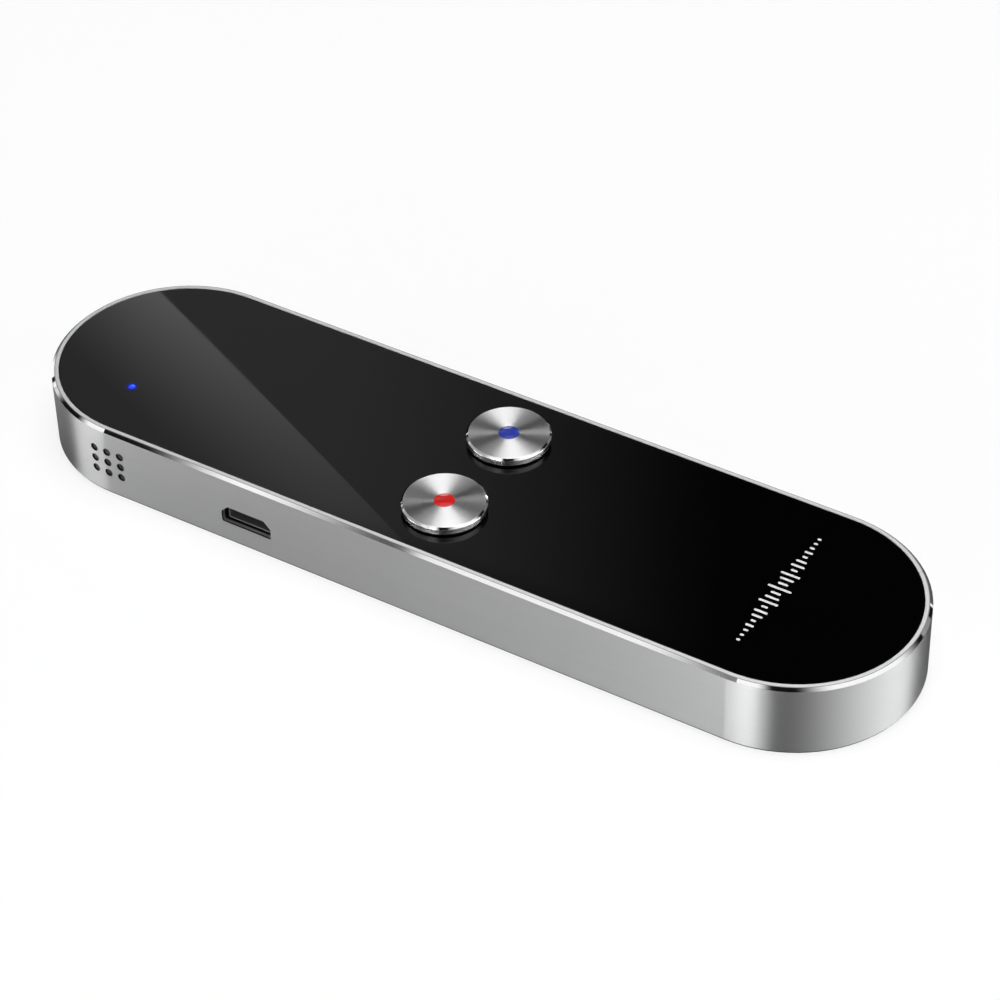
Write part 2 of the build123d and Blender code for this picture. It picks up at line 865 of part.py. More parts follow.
def usb_tongue():
    """Moulded tongue in the middle of the port."""
    root = body_width / 2 - port_recess - shell_depth + tongue_root
    face = root + tongue_length
    return from_front(Pos(port_x, port_z) * Rectangle(tongue_width, tongue_thickness), face, tongue_length)


def usb_contacts():
    """Row of contact strips on the tongue."""
    root = body_width / 2 - port_recess - shell_depth + tongue_root
    z = port_z - tongue_thickness / 2 - contact_thickness / 2
    strips = []
    for i in range(contact_count):
        x = port_x + (i - (contact_count - 1) / 2) * contact_pitch
        strip = Pos(x, z) * Rectangle(contact_width, contact_thickness)
        strips.append(from_front(strip, root + contact_length, contact_length))
    return Compound(strips)


# ================================================================ power switch
def power_knob():
    """Ridged knob in the slot, with a flange behind the wall that hides the slot's ends."""
    flange_face = inner_radius - knob_flange_gap
    place = Pos(power_rest_x, power_z)
    flange = place * Rectangle(knob_flange_length, knob_flange_height)
    knob = from_back(flange, flange_face, knob_flange_thickness)
    top = body_width / 2 - knob_sink
    knob += from_back(place * SlotOverall(knob_length, knob_height), top, top - flange_face)
    for i in range(knob_grooves):
        x = power_rest_x + (i - (knob_grooves - 1) / 2) * knob_groove_pitch
        groove = Pos(x, power_z) * Rectangle(knob_groove, 2 * knob_height)
        knob -= from_back(groove, top, knob_groove_depth)
    pocket = place * Rectangle(slider_width + 2 * slider_gap, slider_height + 2 * slider_gap)
    inner_face = flange_face - knob_flange_thickness
    return knob - from_back(pocket, inner_face + slider_engagement, slider_engagement)


def power_slider():
    """Slider of the switch, which the knob carries along."""
    tip = inner_radius - knob_flange_gap - knob_flange_thickness + slider_engagement - slider_gap
    tail = power_body_face - power_pocket_depth + slider_gap
    bar = Pos(power_rest_x, power_z) * Rectangle(slider_width, slider_height)
    return from_back(bar, tip, tip - tail)


def power_switch_body():
    """Slide switch under the board's edge, with a window for the slider."""
    case = block(
        power_body_length,
        power_body_depth,
        board_bottom - power_body_height,
        board_bottom,
        power_x,
        power_body_face - power_body_depth / 2,
    )
    window = Pos(power_x, power_z) * Rectangle(
        slider_width + power_travel + 2 * slider_gap, slider_height + 2 * slider_gap
    )
    return case - from_back(window, power_body_face, power_pocket_depth)


# ================================================================ battery and antenna
def battery_cell():
    """Pouch cell with rolled long edges."""
    roll = battery_thickness / 2 - battery_edge_flat
    top = battery_bottom + battery_thickness
    cell = block(battery_length, battery_width, battery_bottom, top, battery_x)
    return fillet(cell.edges().filter_by(Axis.X), roll)


def battery_tape():
    """Double-sided tape between the cell and the cover."""
    length = battery_length - 2 * battery_tape_margin
    width = battery_width - 2 * battery_tape_margin
    return block(length, width, cover_thickness, battery_bottom, battery_x)


def battery_guard_board():
    """Narrow protection board at the end of the cell, on its two tabs."""
    top = guard_board_top
    board = block(guard_length, guard_width, top - guard_thickness, top, guard_board_x)
    tab_length = guard_gap + guard_length / 2
    tab_x = battery_x - battery_length / 2 - tab_length / 2
    for side in (-1, 1):
        y = side * tab_spacing / 2
        board += block(tab_length, tab_width, top, top + tab_thickness, tab_x, y)
    return board


def battery_leads():
    """Two flat leads that rise from the protection board to the main board."""
    start_x = guard_board_x - guard_length / 2
    z = guard_board_top - guard_thickness / 2
    leads = []
    for side in (-1, 1):
        y = side * lead_spacing / 2
        path = FilletPolyline(
            (start_x, y, z),
            (start_x - lead_run, y, z),
            (start_x - lead_run, y, board_bottom),
            radius=lead_bend,
        )
        strip = Plane(origin=(start_x, y, z), x_dir=(0, 1, 0), z_dir=(-1, 0, 0))
        leads.append(sweep(strip * Rectangle(lead_width, lead_thickness), path))
    return Compound(leads)


def antenna_film():
    """Thin flexible antenna stuck to the inside of the cover."""
    top = cover_thickness + film_thickness
    film = block(film_length, film_width, cover_thickness, top, tail_x - film_setback)
    return fillet(film.edges().filter_by(Axis.Z), film_length / 4)


def antenna_spring():
    """Bent strip that joins the board to the antenna film."""
    low = cover_thickness + film_thickness
    spring_x = tail_x - spring_setback
    leg = block(spring_metal, spring_width, low, board_bottom, spring_x - spring_length / 2)
    foot = block(spring_length, spring_width, low, low + spring_metal, spring_x)
    pad = block(spring_length, spring_width, board_bottom - spring_metal, board_bottom, spring_x)
    return leg + foot + pad


def build():
    """All pieces of the translator, by node name."""
    pieces = {
        "housing": housing(),
        "front_panel": front_panel(),
        "panel_tape": panel_tape(),
        "back_cover": back_cover(),
        "cover_screws": cover_screws(),
        "board_screws": board_screws(),
        "grille_mesh": grille_mesh(),
        "grille_gasket": grille_gasket(),
        "speaker_basket": speaker_basket(),
        "speaker_magnet": speaker_magnet(),
        "speaker_diaphragm": speaker_diaphragm(),
        "speaker_box": speaker_box(),
        "microphone": microphone(),
        "microphone_boot": microphone_boot(),
        "main_board": main_board(),
        "processor_chip": chip(processor_size, processor_size, processor_height, processor_x, processor_y),
        "memory_chip": chip(memory_length, memory_width, memory_height, memory_x, memory_y),
        "radio_shield": radio_shield(),
        "crystal": chip(crystal_length, crystal_width, crystal_height, crystal_x, crystal_y),
        "power_coil": chip(coil_size, coil_size, coil_height, coil_x, 0, coil_corner),
        "charger_chip": chip(charger_size, charger_size, charger_height, charger_x, charger_y),
        "board_capacitors": board_capacitors(),
        "indicator_led": indicator_led(),
        "light_pipe": light_pipe(),
        "usb_shell": usb_shell(),
        "usb_tongue": usb_tongue(),
        "usb_contacts": usb_contacts(),
        "power_knob": power_knob(),
        "power_slider": power_slider(),
        "power_switch_body": power_switch_body(),
        "battery_cell": battery_cell(),
        "battery_tape": battery_tape(),
        "battery_guard_board": battery_guard_board(),
        "battery_leads": battery_leads(),
        "antenna_film": antenna_film(),
        "antenna_spring": antenna_spring(),
    }
    for colour, y in button_places.items():
        pieces[f"{colour}_button_cap"] = button_cap(y)
        pieces[f"{colour}_button_dot"] = button_dot(y)
        pieces[f"{colour}_button_plunger"] = button_plunger(y)
        pieces[f"{colour}_switch_body"] = switch_body(y)
        pieces[f"{colour}_switch_stem"] = switch_stem(y)
    return pieces


os.makedirs("parts", exist_ok=True)
for node, shape in build().items():
    export_step(shape, f"parts/{node}.step")
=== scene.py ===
"""Looks of the handheld translator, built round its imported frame.

Sizes and places named here are in millimetres and angles in degrees. Blender's own lengths are metres.
"""

import math

import bpy
import numpy as np
from mathutils import Matrix, Vector


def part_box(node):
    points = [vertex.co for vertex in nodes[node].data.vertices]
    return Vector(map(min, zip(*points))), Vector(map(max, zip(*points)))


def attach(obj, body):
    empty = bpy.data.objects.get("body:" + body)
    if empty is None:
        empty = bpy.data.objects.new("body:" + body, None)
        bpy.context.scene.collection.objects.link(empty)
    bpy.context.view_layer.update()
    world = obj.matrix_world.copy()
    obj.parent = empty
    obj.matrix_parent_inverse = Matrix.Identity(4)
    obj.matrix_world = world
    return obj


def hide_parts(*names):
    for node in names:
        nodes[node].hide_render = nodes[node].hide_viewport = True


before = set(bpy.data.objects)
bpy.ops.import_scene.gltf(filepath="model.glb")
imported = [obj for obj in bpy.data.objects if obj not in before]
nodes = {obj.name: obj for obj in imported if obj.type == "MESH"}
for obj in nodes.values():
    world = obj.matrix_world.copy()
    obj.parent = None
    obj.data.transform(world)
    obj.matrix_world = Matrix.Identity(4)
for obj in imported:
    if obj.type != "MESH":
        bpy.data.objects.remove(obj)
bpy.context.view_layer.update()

MM = 0.001


def box_of(name):
    """Lowest and highest corner of a node's box, in millimetres."""
    return [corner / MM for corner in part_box(name)]


def middle_of(name):
    """Middle of a node's box, in millimetres."""
    low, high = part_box(name)
    return (low + high) / 2 / MM


# ---------------------------------------------------------------- sizes read from the frame
HALF_LENGTH, HALF_WIDTH, SHELL_TOP = (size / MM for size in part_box("housing")[1])
END_CENTRE = HALF_LENGTH - HALF_WIDTH
PANEL_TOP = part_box("front_panel")[1].z / MM

# ---------------------------------------------------------------- sizes of the finishes
# Housing: its chamfer, the width over which one finish gives way to the next, and a painted shade line
# on the rim along the chamfer's edge.
EDGE_CHAMFER = 0.45
EDGE_BLUR = 0.012
SHADE_LINE_WIDTH = 0.10
SHADE_LINE_BLUR = 0.04

# Bevel round the face of each cap.
CAP_BEVEL_WIDTH = 0.30
CAP_BEVEL_DROP = 0.30

# Openings in the front side: the grille's holes and their broken edge, which takes the openings' finish
# with its painted shade, the depth at which an opening's own finish starts, the depths over which a
# painted highlight comes up and then painted shade comes back, and the y over which the front side ends.
GRILLE_PITCH_X = 2.36
GRILLE_PITCH_Z = 1.95
GRILLE_HOLE = 1.15
GRILLE_EDGE = 0.08
OPENING_DEPTH = 0.06
PAINTED_HIGHLIGHT_DEPTHS = (0.2, 0.4)
PAINTED_SHADE_DEPTHS = (0.65, 0.9)
FRONT_SIDE = (-1.0, 0.0)

# Indicator: distances from its middle over which the glow painted on the panel dies away and its core
# darkens, and the painted highlight's place, its distances, and how far it is drawn out along the body.
PAINTED_GLOW_REACH = (0.5, 1.2)
CORE_REACH = (0.25, 0.6)
HIGHLIGHT_AWAY = 0.02
HIGHLIGHT_ACROSS = 0.26
HIGHLIGHT_REACH = (0.05, 0.3)
HIGHLIGHT_STRETCH = 0.4

# Tape, board and coil: threads and how much they lean, copper tracks and how often they step aside,
# tinned holes, and the turns of the wire.
THREAD_PITCH = 0.4
THREAD_LEAN = 0.15
TRACK_PITCH = 0.35
TRACK_EDGE = (0.1, 0.14)
TRACK_STEPS = 8
TINNED_EDGE = (0.13, 0.16)
COIL_TURN = 0.11
COIL_RISE = 9

# Half of the part of a noise that is spread from one end of a finish to the other. The smaller one
# gives more contrast.
NOISE_RANGE = 0.2
SHARP_RANGE = 0.15


# ================================================================ shader arithmetic
class Socket:
    """One output of a shader node, on which Python's arithmetic signs make Math nodes."""

    def __init__(self, tree, socket):
        self.tree = tree
        self.socket = socket

    def __add__(self, other):
        return self.tree.math("ADD", self, other)

    def __sub__(self, other):
        return self.tree.math("SUBTRACT", self, other)

    def __rsub__(self, other):
        return self.tree.math("SUBTRACT", other, self)

    def __mul__(self, other):
        return self.tree.math("MULTIPLY", self, other)

    def __pow__(self, other):
        return self.tree.math("POWER", self, other)

    def __abs__(self):
        return self.tree.math("ABSOLUTE", self)

    __radd__ = __add__
    __rmul__ = __mul__


class Tree:
    """A node tree, with the few kinds of node that the finishes are made of."""

    def __init__(self, node_tree):
        self.node_tree = node_tree
        self.node_tree.nodes.clear()

    def add(self, kind, settings=None, sockets=None):
        """A node of that type: its settings are set first, then the values or links of its sockets."""
        node = self.node_tree.nodes.new(kind)
        for name, value in (settings or {}).items():
            setattr(node, name, value)
        for name, value in (sockets or {}).items():
            if isinstance(value, Socket):
                self.node_tree.links.new(value.socket, node.inputs[name])
            elif value is not None:
                node.inputs[name].default_value = value
        return node

    def get(self, kind, settings=None, sockets=None, output=0):
        """The same, but gives one output of the new node."""
        return Socket(self, self.add(kind, settings, sockets).outputs[output])

    def math(self, operation, *values):
        return self.get("ShaderNodeMath", {"operation": operation}, dict(enumerate(values)))

    def place(self):
        """Object coordinates in millimetres, as three sockets."""
        split = self.add("ShaderNodeSeparateXYZ", None, {0: self.point(1 / MM)})
        return [Socket(self, output) for output in split.outputs]

    def point(self, *scale):
        """Object coordinates times a scale per metre, one number or one for each axis."""
        factors = scale if len(scale) == 3 else scale * 3
        here = self.get("ShaderNodeTexCoord", output="Object")
        return self.get("ShaderNodeVectorMath", {"operation": "MULTIPLY"}, {0: here, 1: factors})

    def distance(self, first, second):
        """Length of a line from its offsets along two axes."""
        return self.math("SQRT", first * first + second * second)

    def noise(self, vector, detail=3.0, roughness=0.5, scale=1.0):
        sockets = {"Vector": vector, "Scale": scale, "Detail": detail, "Roughness": roughness}
        return self.get("ShaderNodeTexNoise", None, sockets)

    def between(self, value, low, high, first=0.0, last=1.0, smooth=True):
        """Goes from first to last while value goes from low to high, and stays there outside."""
        settings = {"interpolation_type": "SMOOTHSTEP" if smooth else "LINEAR"}
        return self.get("ShaderNodeMapRange", settings, {0: value, 1: low, 2: high, 3: first, 4: last})

    def fade(self, value, low, high, smooth=True):
        """1 up to low, and 0 from high on."""
        return self.between(value, low, high, 1.0, 0.0, smooth)

    def within(self, value, start, stop, rise, fall):
        """1 from start to stop, with a soft edge of its own width inside each end."""
        return self.between(value, start, start + rise) * self.fade(value, stop - fall, stop)

    def spread(self, noise, first=0.0, last=1.0, half=NOISE_RANGE):
        """Goes from first to last over the middle of a noise, where nearly all of it lies."""
        return self.between(noise, 0.5 - half, 0.5 + half, first, last)

    def mix(self, factor, first, second):
        """Colour between two, by a factor."""
        sockets = {0: factor, 6: rgba(first), 7: rgba(second)}
        return self.get("ShaderNodeMix", {"data_type": "RGBA"}, sockets, output=2)

    def bump(self, height, depth, normal=None):
        """Normal of a surface that a height from 0 to 1 raises by a depth in millimetres."""
        sockets = {"Height": height, "Distance": depth * MM, "Strength": 1.0, "Normal": normal}
        return self.get("ShaderNodeBump", None, sockets)

    def principled(self, **sockets):
        """Principled shader: underscores in the names stand for spaces."""
        named = {}
        for name, value in sockets.items():
            named[name.replace("_", " ")] = rgba(value) if name.endswith("Color") else value
        return self.get("ShaderNodeBsdfPrincipled", None, named)

    def mix_shader(self, factor, first, second):
        return self.get("ShaderNodeMixShader", None, {0: factor, 1: first, 2: second})

    def glow(self, strength):
        """White light of that strength."""
        return self.get("ShaderNodeEmission", None, {"Color": rgba(1.0), "Strength": strength})


def rgba(colour):
    """Four numbers from a grey level or three, and sockets as they are."""
    if isinstance(colour, Socket):
        return colour
    return (*colour, 1.0) if hasattr(colour, "__len__") else (colour, colour, colour, 1.0)


def sum_of(sockets):
    """Sum of several sockets."""
    first, *others = sockets
    return sum(others, first)


def finish_of(build):
    """Makes the material that a function describes, named as the function is."""
    material = bpy.data.materials.new(build.__name__)
    material.use_nodes = True
    tree = Tree(material.node_tree)
    shader = build(tree)
    tree.add("ShaderNodeOutputMaterial", None, {"Surface": shader})
    return material


# ================================================================ finishes of the housing
def stadium_reach(tree):
    """Distance in millimetres from the line that joins the centres of the two round ends."""
    x, y, _ = tree.place()
    return tree.distance(tree.math("MAXIMUM", abs(x) - END_CENTRE, 0.0), y)


def bright_cut_metal(tree):
    """Chamfer left by a diamond cutter: nearly a mirror, with its fine lines along the edge."""
    lines = tree.noise(tree.point(12, 12, 5000), detail=2.0)
    return tree.principled(
        Base_Color=0.93,
        Metallic=1.0,
        Roughness=tree.spread(lines, 0.03, 0.06),
        Normal=tree.bump(lines, 0.0002),
    )


def blasted_grain(tree):
    """Fine even grain that blasting leaves."""
    return tree.noise(tree.point(14000), detail=2.0, roughness=0.7)


def satin_wall(tree, smoothest=0.32, roughest=0.35, depth=0.001):
    """Upright wall blasted and then brushed along the edge, so that it blurs light upwards only."""
    brushing = tree.noise(tree.point(25, 25, 9000), detail=4.0, roughness=0.6)
    clouds = tree.noise(tree.point(60), detail=2.0)
    grain = brushing * 0.6 + blasted_grain(tree) * 0.4
    return tree.principled(
        Base_Color=tree.mix(tree.spread(grain), 0.84, 0.89),
        Metallic=1.0,
        Roughness=tree.spread(grain + (clouds - 0.5) * 0.3, smoothest, roughest),
        Anisotropic=1.0,
        Anisotropic_Rotation=0.25,
        Normal=tree.bump(grain, depth),
    )


def milled_opening(tree, inset):
    """Wall of a drilled or milled opening, with the drill's rings: painted shade at its mouth and deep
    inside, and a painted highlight in a lighter band between.
    """
    rings = tree.noise(tree.point(1500, 9000, 1500), detail=3.0)
    # Painted shade at the mouth and deep inside, and a painted highlight in the band between.
    painted_highlight = tree.between(inset, *PAINTED_HIGHLIGHT_DEPTHS) * tree.fade(inset, *PAINTED_SHADE_DEPTHS)
    return tree.principled(
        Base_Color=tree.mix(painted_highlight, tree.mix(rings, 0.04, 0.09), tree.mix(rings, 0.7, 0.9)),
        Metallic=1.0,
        Roughness=tree.spread(rings, 0.32, 0.46),
        Normal=tree.bump(rings, 0.003),
    )


def opening_mask(tree, inset):
    """1 on the walls of the openings in the front side, and on the broken edge of each grille hole,
    where the openings' finish paints shade.

    The holes lie in the middle and one pitch either side, so the nearest is at nought or at a pitch.
    """
    x, y, z = tree.place()
    centre = middle_of("grille_mesh")
    offsets = []
    for place, middle, pitch in ((x, centre.x, GRILLE_PITCH_X), (z, centre.z, GRILLE_PITCH_Z)):
        from_middle = abs(place - middle)
        offsets.append(tree.math("MINIMUM", from_middle, abs(from_middle - pitch)))
    from_hole = tree.distance(*offsets) - GRILLE_HOLE / 2
    edge = tree.fade(from_hole, GRILLE_EDGE, GRILLE_EDGE + EDGE_BLUR)
    inside = tree.between(inset, OPENING_DEPTH, OPENING_DEPTH + EDGE_BLUR)
    return tree.math("MAXIMUM", edge, inside) * tree.fade(y, *FRONT_SIDE)


def satin_aluminium(tree):
    """Blasted and brushed wall, flat rim, and a chamfer cut bright with a diamond."""
    _, _, z = tree.place()
    inset = HALF_WIDTH - stadium_reach(tree)
    chamfer_foot = SHELL_TOP - EDGE_CHAMFER
    near_top = tree.between(z, chamfer_foot - EDGE_BLUR, chamfer_foot + EDGE_BLUR)
    outside = tree.between(inset, EDGE_CHAMFER + EDGE_BLUR, EDGE_CHAMFER - EDGE_BLUR)
    # Painted shade: a dark line on the rim along the chamfer's edge.
    line_end = EDGE_CHAMFER + SHADE_LINE_WIDTH
    painted_shade_line = tree.fade(inset, line_end, line_end + SHADE_LINE_BLUR)
    grain = blasted_grain(tree)
    flat_rim = tree.principled(
        Base_Color=tree.mix(painted_shade_line, tree.mix(tree.spread(grain), 0.71, 0.78), 0.34),
        Metallic=1.0,
        Roughness=tree.spread(grain, 0.55, 0.63),
        Normal=tree.bump(grain, 0.001),
    )
    on_top = tree.between(z, SHELL_TOP - EDGE_BLUR, SHELL_TOP - EDGE_BLUR / 2)
    wall = tree.mix_shader(opening_mask(tree, inset), satin_wall(tree), milled_opening(tree, inset))
    uncut = tree.mix_shader(on_top, wall, flat_rim)
    return tree.mix_shader(near_top * outside, uncut, bright_cut_metal(tree))


# ================================================================ finishes of the panel and buttons
def from_indicator(tree):
    """Offsets in millimetres from the middle of the indicator, along the body and across it."""
    x, y, _ = tree.place()
    centre = middle_of("light_pipe")
    return x - centre.x, y - centre.y


def black_panel(tree):
    """Polished black panel with the faint haze of handling, and a painted blue glow round the indicator.
    """
    painted_glow = tree.fade(tree.distance(*from_indicator(tree)), *PAINTED_GLOW_REACH)
    haze = tree.noise(tree.point(45), detail=4.0, roughness=0.6)
    hairlines = tree.noise(tree.point(40, 900, 1), detail=2.0, roughness=0.8)
    return tree.principled(
        Base_Color=tree.mix(haze, 0.0003, 0.0008),
        Roughness=tree.between(haze + (hairlines - 0.5) * 0.2, 0.35, 0.75, 0.008, 0.022),
        IOR=1.5,
        # Painted glow: the panel itself glows blue round the indicator.
        Emission_Color=tree.mix(painted_glow, 0.0, (0.0, 0.002, 0.11)),
        Emission_Strength=1.0,
        Normal=tree.bump(hairlines, 0.00002),
    )


def blue_light(tree):
    """Clear rod end lit from below: deep blue, with a painted highlight, a lighter spot near one edge.
    """
    away, across = from_indicator(tree)
    grain = tree.noise(tree.point(2500), detail=2.0)
    core = tree.between(tree.distance(away, across) + (grain - 0.5) * 0.2, *CORE_REACH)
    highlight_away, highlight_across = away - HIGHLIGHT_AWAY, across - HIGHLIGHT_ACROSS
    squares = highlight_across * highlight_across + highlight_away * highlight_away * HIGHLIGHT_STRETCH
    # Painted highlight: a lighter spot drawn out near one edge of the rod.
    spot = tree.fade(tree.math("SQRT", squares), *HIGHLIGHT_REACH)
    deep = tree.mix(core, (0.0, 0.014, 0.78), (0.0, 0.004, 0.3))
    return tree.principled(
        Base_Color=tree.mix(core, (0.01, 0.04, 0.5), (0.0, 0.01, 0.2)),
        Roughness=tree.spread(grain, 0.12, 0.2),
        Emission_Color=tree.mix(spot, deep, (0.03, 0.2, 1.0)),
        Emission_Strength=1.0,
    )


def panel_print(tree):
    """Thin pale ink with the fine grain of a printing screen."""
    grain = tree.noise(tree.point(9000), detail=2.0)
    wear = tree.noise(tree.point(900), detail=3.0)
    return tree.principled(
        Base_Color=tree.mix(tree.spread(wear), 0.6, 0.7),
        Roughness=tree.spread(grain, 0.5, 0.65),
        Normal=tree.bump(grain, 0.002),
    )


def spun_aluminium(tree):
    """Turned face with fine rings, a bright-cut bevel round it, and a brushed upright edge.

    The two caps mirror each other across the body's middle line, so the size of y serves both.
    """
    x, y, z = tree.place()
    low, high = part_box("blue_button_cap")
    centre = middle_of("blue_button_cap")
    radius = tree.distance(x - centre.x, abs(y) - abs(centre.y))
    ring_place = tree.get("ShaderNodeCombineXYZ", None, {0: radius})
    rings = tree.noise(ring_place, detail=6.0, roughness=0.75, scale=9.0)
    face_edge = (high.x - low.x) / 2 / MM - CAP_BEVEL_WIDTH
    bevel_foot = high.z / MM - CAP_BEVEL_DROP
    on_face = tree.between(radius, face_edge + EDGE_BLUR, face_edge - EDGE_BLUR)
    on_wall = tree.between(z, bevel_foot, bevel_foot - EDGE_BLUR)
    face = tree.principled(
        Base_Color=tree.mix(tree.spread(rings, half=SHARP_RANGE), 0.82, 0.88),
        Metallic=1.0,
        Roughness=tree.spread(rings, 0.27, 0.33, SHARP_RANGE),
        Anisotropic=0.95,
        Anisotropic_Rotation=0.25,
        Normal=tree.bump(rings, 0.0008),
    )
    wall = satin_wall(tree, smoothest=0.2, roughest=0.22, depth=0.0001)
    edge = tree.mix_shader(on_wall, bright_cut_metal(tree), wall)
    return tree.mix_shader(on_face, edge, face)


def enamel(tree, colour, deep):
    """Glossy coloured fill with slight cloudiness under a clear coat."""
    clouds = tree.noise(tree.point(500), detail=2.0)
    pigment = tree.noise(tree.point(12000), detail=2.0)
    return tree.principled(
        Base_Color=tree.mix(tree.spread(clouds * 0.7 + pigment * 0.3), deep, colour),
        Roughness=tree.spread(pigment, 0.3, 0.34),
        Specular_IOR_Level=0.2,
        Coat_Weight=1.0,
        Coat_Roughness=0.05,
        Coat_IOR=1.55,
        Normal=tree.bump(clouds, 0.0015),
    )


def blue_enamel(tree):
    return enamel(tree, colour=(0.020, 0.036, 0.30), deep=(0.018, 0.032, 0.27))


def red_enamel(tree):
    return enamel(tree, colour=(0.56, 0.010, 0.010), deep=(0.51, 0.008, 0.008))


# ================================================================ finishes of mouldings and plain metal
def moulded(tree, colour, roughness, grain_depth, fineness=6000):
    """Moulded plastic: spark-eroded texture with slight changes of tone and gloss."""
    texture = tree.noise(tree.point(fineness), detail=3.0, roughness=0.6)
    tone = tree.noise(tree.point(120), detail=2.0)
    lighter = tuple(min(1.0, channel * 1.25 + 0.004) for channel in colour)
    blotches = tree.spread(texture * 0.5 + tone * 0.5, half=SHARP_RANGE)
    return tree.principled(
        Base_Color=tree.mix(blotches, colour, lighter),
        Roughness=tree.spread(texture, roughness - 0.06, roughness + 0.06),
        Normal=tree.bump(texture, grain_depth),
    )


def black_cover(tree):
    return moulded(tree, (0.012, 0.012, 0.013), roughness=0.48, grain_depth=0.006, fineness=5000)


def black_moulding(tree):
    return moulded(tree, (0.016, 0.016, 0.017), roughness=0.42, grain_depth=0.004)


def chip_resin(tree):
    return moulded(tree, (0.012, 0.012, 0.014), roughness=0.55, grain_depth=0.005, fineness=9000)


def ceramic_parts(tree):
    return moulded(tree, (0.36, 0.25, 0.16), roughness=0.4, grain_depth=0.003, fineness=7000)


def lamp(tree):
    return moulded(tree, (0.8, 0.74, 0.45), roughness=0.3, grain_depth=0.002, fineness=4000)


def boot_rubber(tree):
    return moulded(tree, (0.02, 0.02, 0.021), roughness=0.7, grain_depth=0.01, fineness=5200)


def plain_metal(tree, colour, roughness, lines, metallic=1.0):
    """Rolled, plated or blackened metal with fine lines one way."""
    rolled = tree.noise(tree.point(*lines), detail=3.0, roughness=0.6)
    stain = tree.noise(tree.point(400), detail=2.0)
    darker = tuple(channel * 0.85 for channel in colour)
    blotches = tree.spread(rolled * 0.6 + stain * 0.4, half=SHARP_RANGE)
    return tree.principled(
        Base_Color=tree.mix(blotches, darker, colour),
        Metallic=metallic,
        Roughness=tree.spread(rolled, roughness - 0.05, roughness + 0.07),
        Normal=tree.bump(rolled, 0.001),
    )


def port_steel(tree):
    return plain_metal(tree, (0.14, 0.14, 0.143), 0.45, lines=(400, 9000, 9000), metallic=0.4)


def screw_steel(tree):
    return plain_metal(tree, (0.34, 0.34, 0.36), 0.3, lines=(5000, 5000, 900))


def switch_plate(tree):
    return plain_metal(tree, (0.72, 0.71, 0.68), 0.28, lines=(900, 7000, 900))


def nickel_can(tree):
    return plain_metal(tree, (0.66, 0.64, 0.59), 0.33, lines=(300, 6000, 6000))


def magnet(tree):
    return plain_metal(tree, (0.5, 0.5, 0.5), 0.24, lines=(2500, 2500, 2500))


def gold_contacts(tree):
    return plain_metal(tree, (0.92, 0.66, 0.26), 0.22, lines=(8000, 900, 900))


def mesh_steel(tree):
    return plain_metal(tree, (0.62, 0.62, 0.62), 0.5, lines=(3000, 3000, 3000), metallic=0.2)


# ================================================================ finishes of the inner pieces
def diaphragm(tree):
    """Pressed film with fibres that lie every way."""
    fibres = tree.noise(tree.point(500, 9000, 2500), detail=5.0, roughness=0.7)
    cloud = tree.noise(tree.point(700), detail=3.0)
    return tree.principled(
        Base_Color=tree.mix(fibres, 0.012, 0.04),
        Roughness=tree.spread(fibres * 0.6 + cloud * 0.4, 0.35, 0.6),
        Normal=tree.bump(fibres, 0.01),
    )


def adhesive(tree):
    """Pale film tape with a fine scrim of threads inside."""
    x, y, _ = tree.place()
    leaning = (x + y * THREAD_LEAN, y - x * THREAD_LEAN)
    threads = sum_of(tree.math("PINGPONG", place, THREAD_PITCH) for place in leaning)
    bubbles = tree.noise(tree.point(1600), detail=3.0)
    return tree.principled(
        Base_Color=tree.mix(tree.spread(threads + bubbles * 0.3), (0.62, 0.58, 0.48), (0.72, 0.69, 0.6)),
        Roughness=tree.spread(bubbles, 0.35, 0.6),
        Normal=tree.bump(bubbles, 0.01),
    )


def board_laminate(tree):
    """Green lacquered board: copper tracks under the lacquer and rows of tinned holes."""
    _, y, _ = tree.place()
    sway = tree.noise(tree.point(180), detail=1.0)
    aside = tree.math("ROUND", sway * TRACK_STEPS) * TRACK_PITCH
    track = tree.fade(tree.math("PINGPONG", y + aside, TRACK_PITCH), *TRACK_EDGE)
    cells = {"Vector": tree.point(900), "Scale": 1.0, "Randomness": 0.25}
    spot = tree.get("ShaderNodeTexVoronoi", {"feature": "F1"}, cells, output="Distance")
    hole = tree.fade(spot, *TINNED_EDGE)
    weave = tree.noise(tree.point(3000), detail=3.0)
    lacquer = tree.mix(track, (0.004, 0.05, 0.022), (0.012, 0.12, 0.05))
    woven = tree.mix(weave * 0.5, lacquer, (0.01, 0.07, 0.03))
    return tree.principled(
        Base_Color=tree.mix(hole, woven, (0.75, 0.72, 0.66)),
        Metallic=hole,
        Roughness=tree.spread(weave, 0.22, 0.38),
        Normal=tree.bump(track * 0.7 + hole + weave * 0.2, 0.02),
    )


def copper_coil(tree):
    """Enamelled copper turns laid side by side."""
    _, _, z = tree.place()
    turns = tree.math("PINGPONG", z, COIL_TURN) * COIL_RISE
    stain = tree.noise(tree.point(1500), detail=3.0)
    return tree.principled(
        Base_Color=tree.mix(stain, (0.55, 0.2, 0.07), (0.78, 0.36, 0.15)),
        Metallic=tree.between(turns, 0.2, 0.5, 0.8, 1.0),
        Roughness=tree.spread(stain, 0.2, 0.34),
        Normal=tree.bump(turns, 0.06),
    )


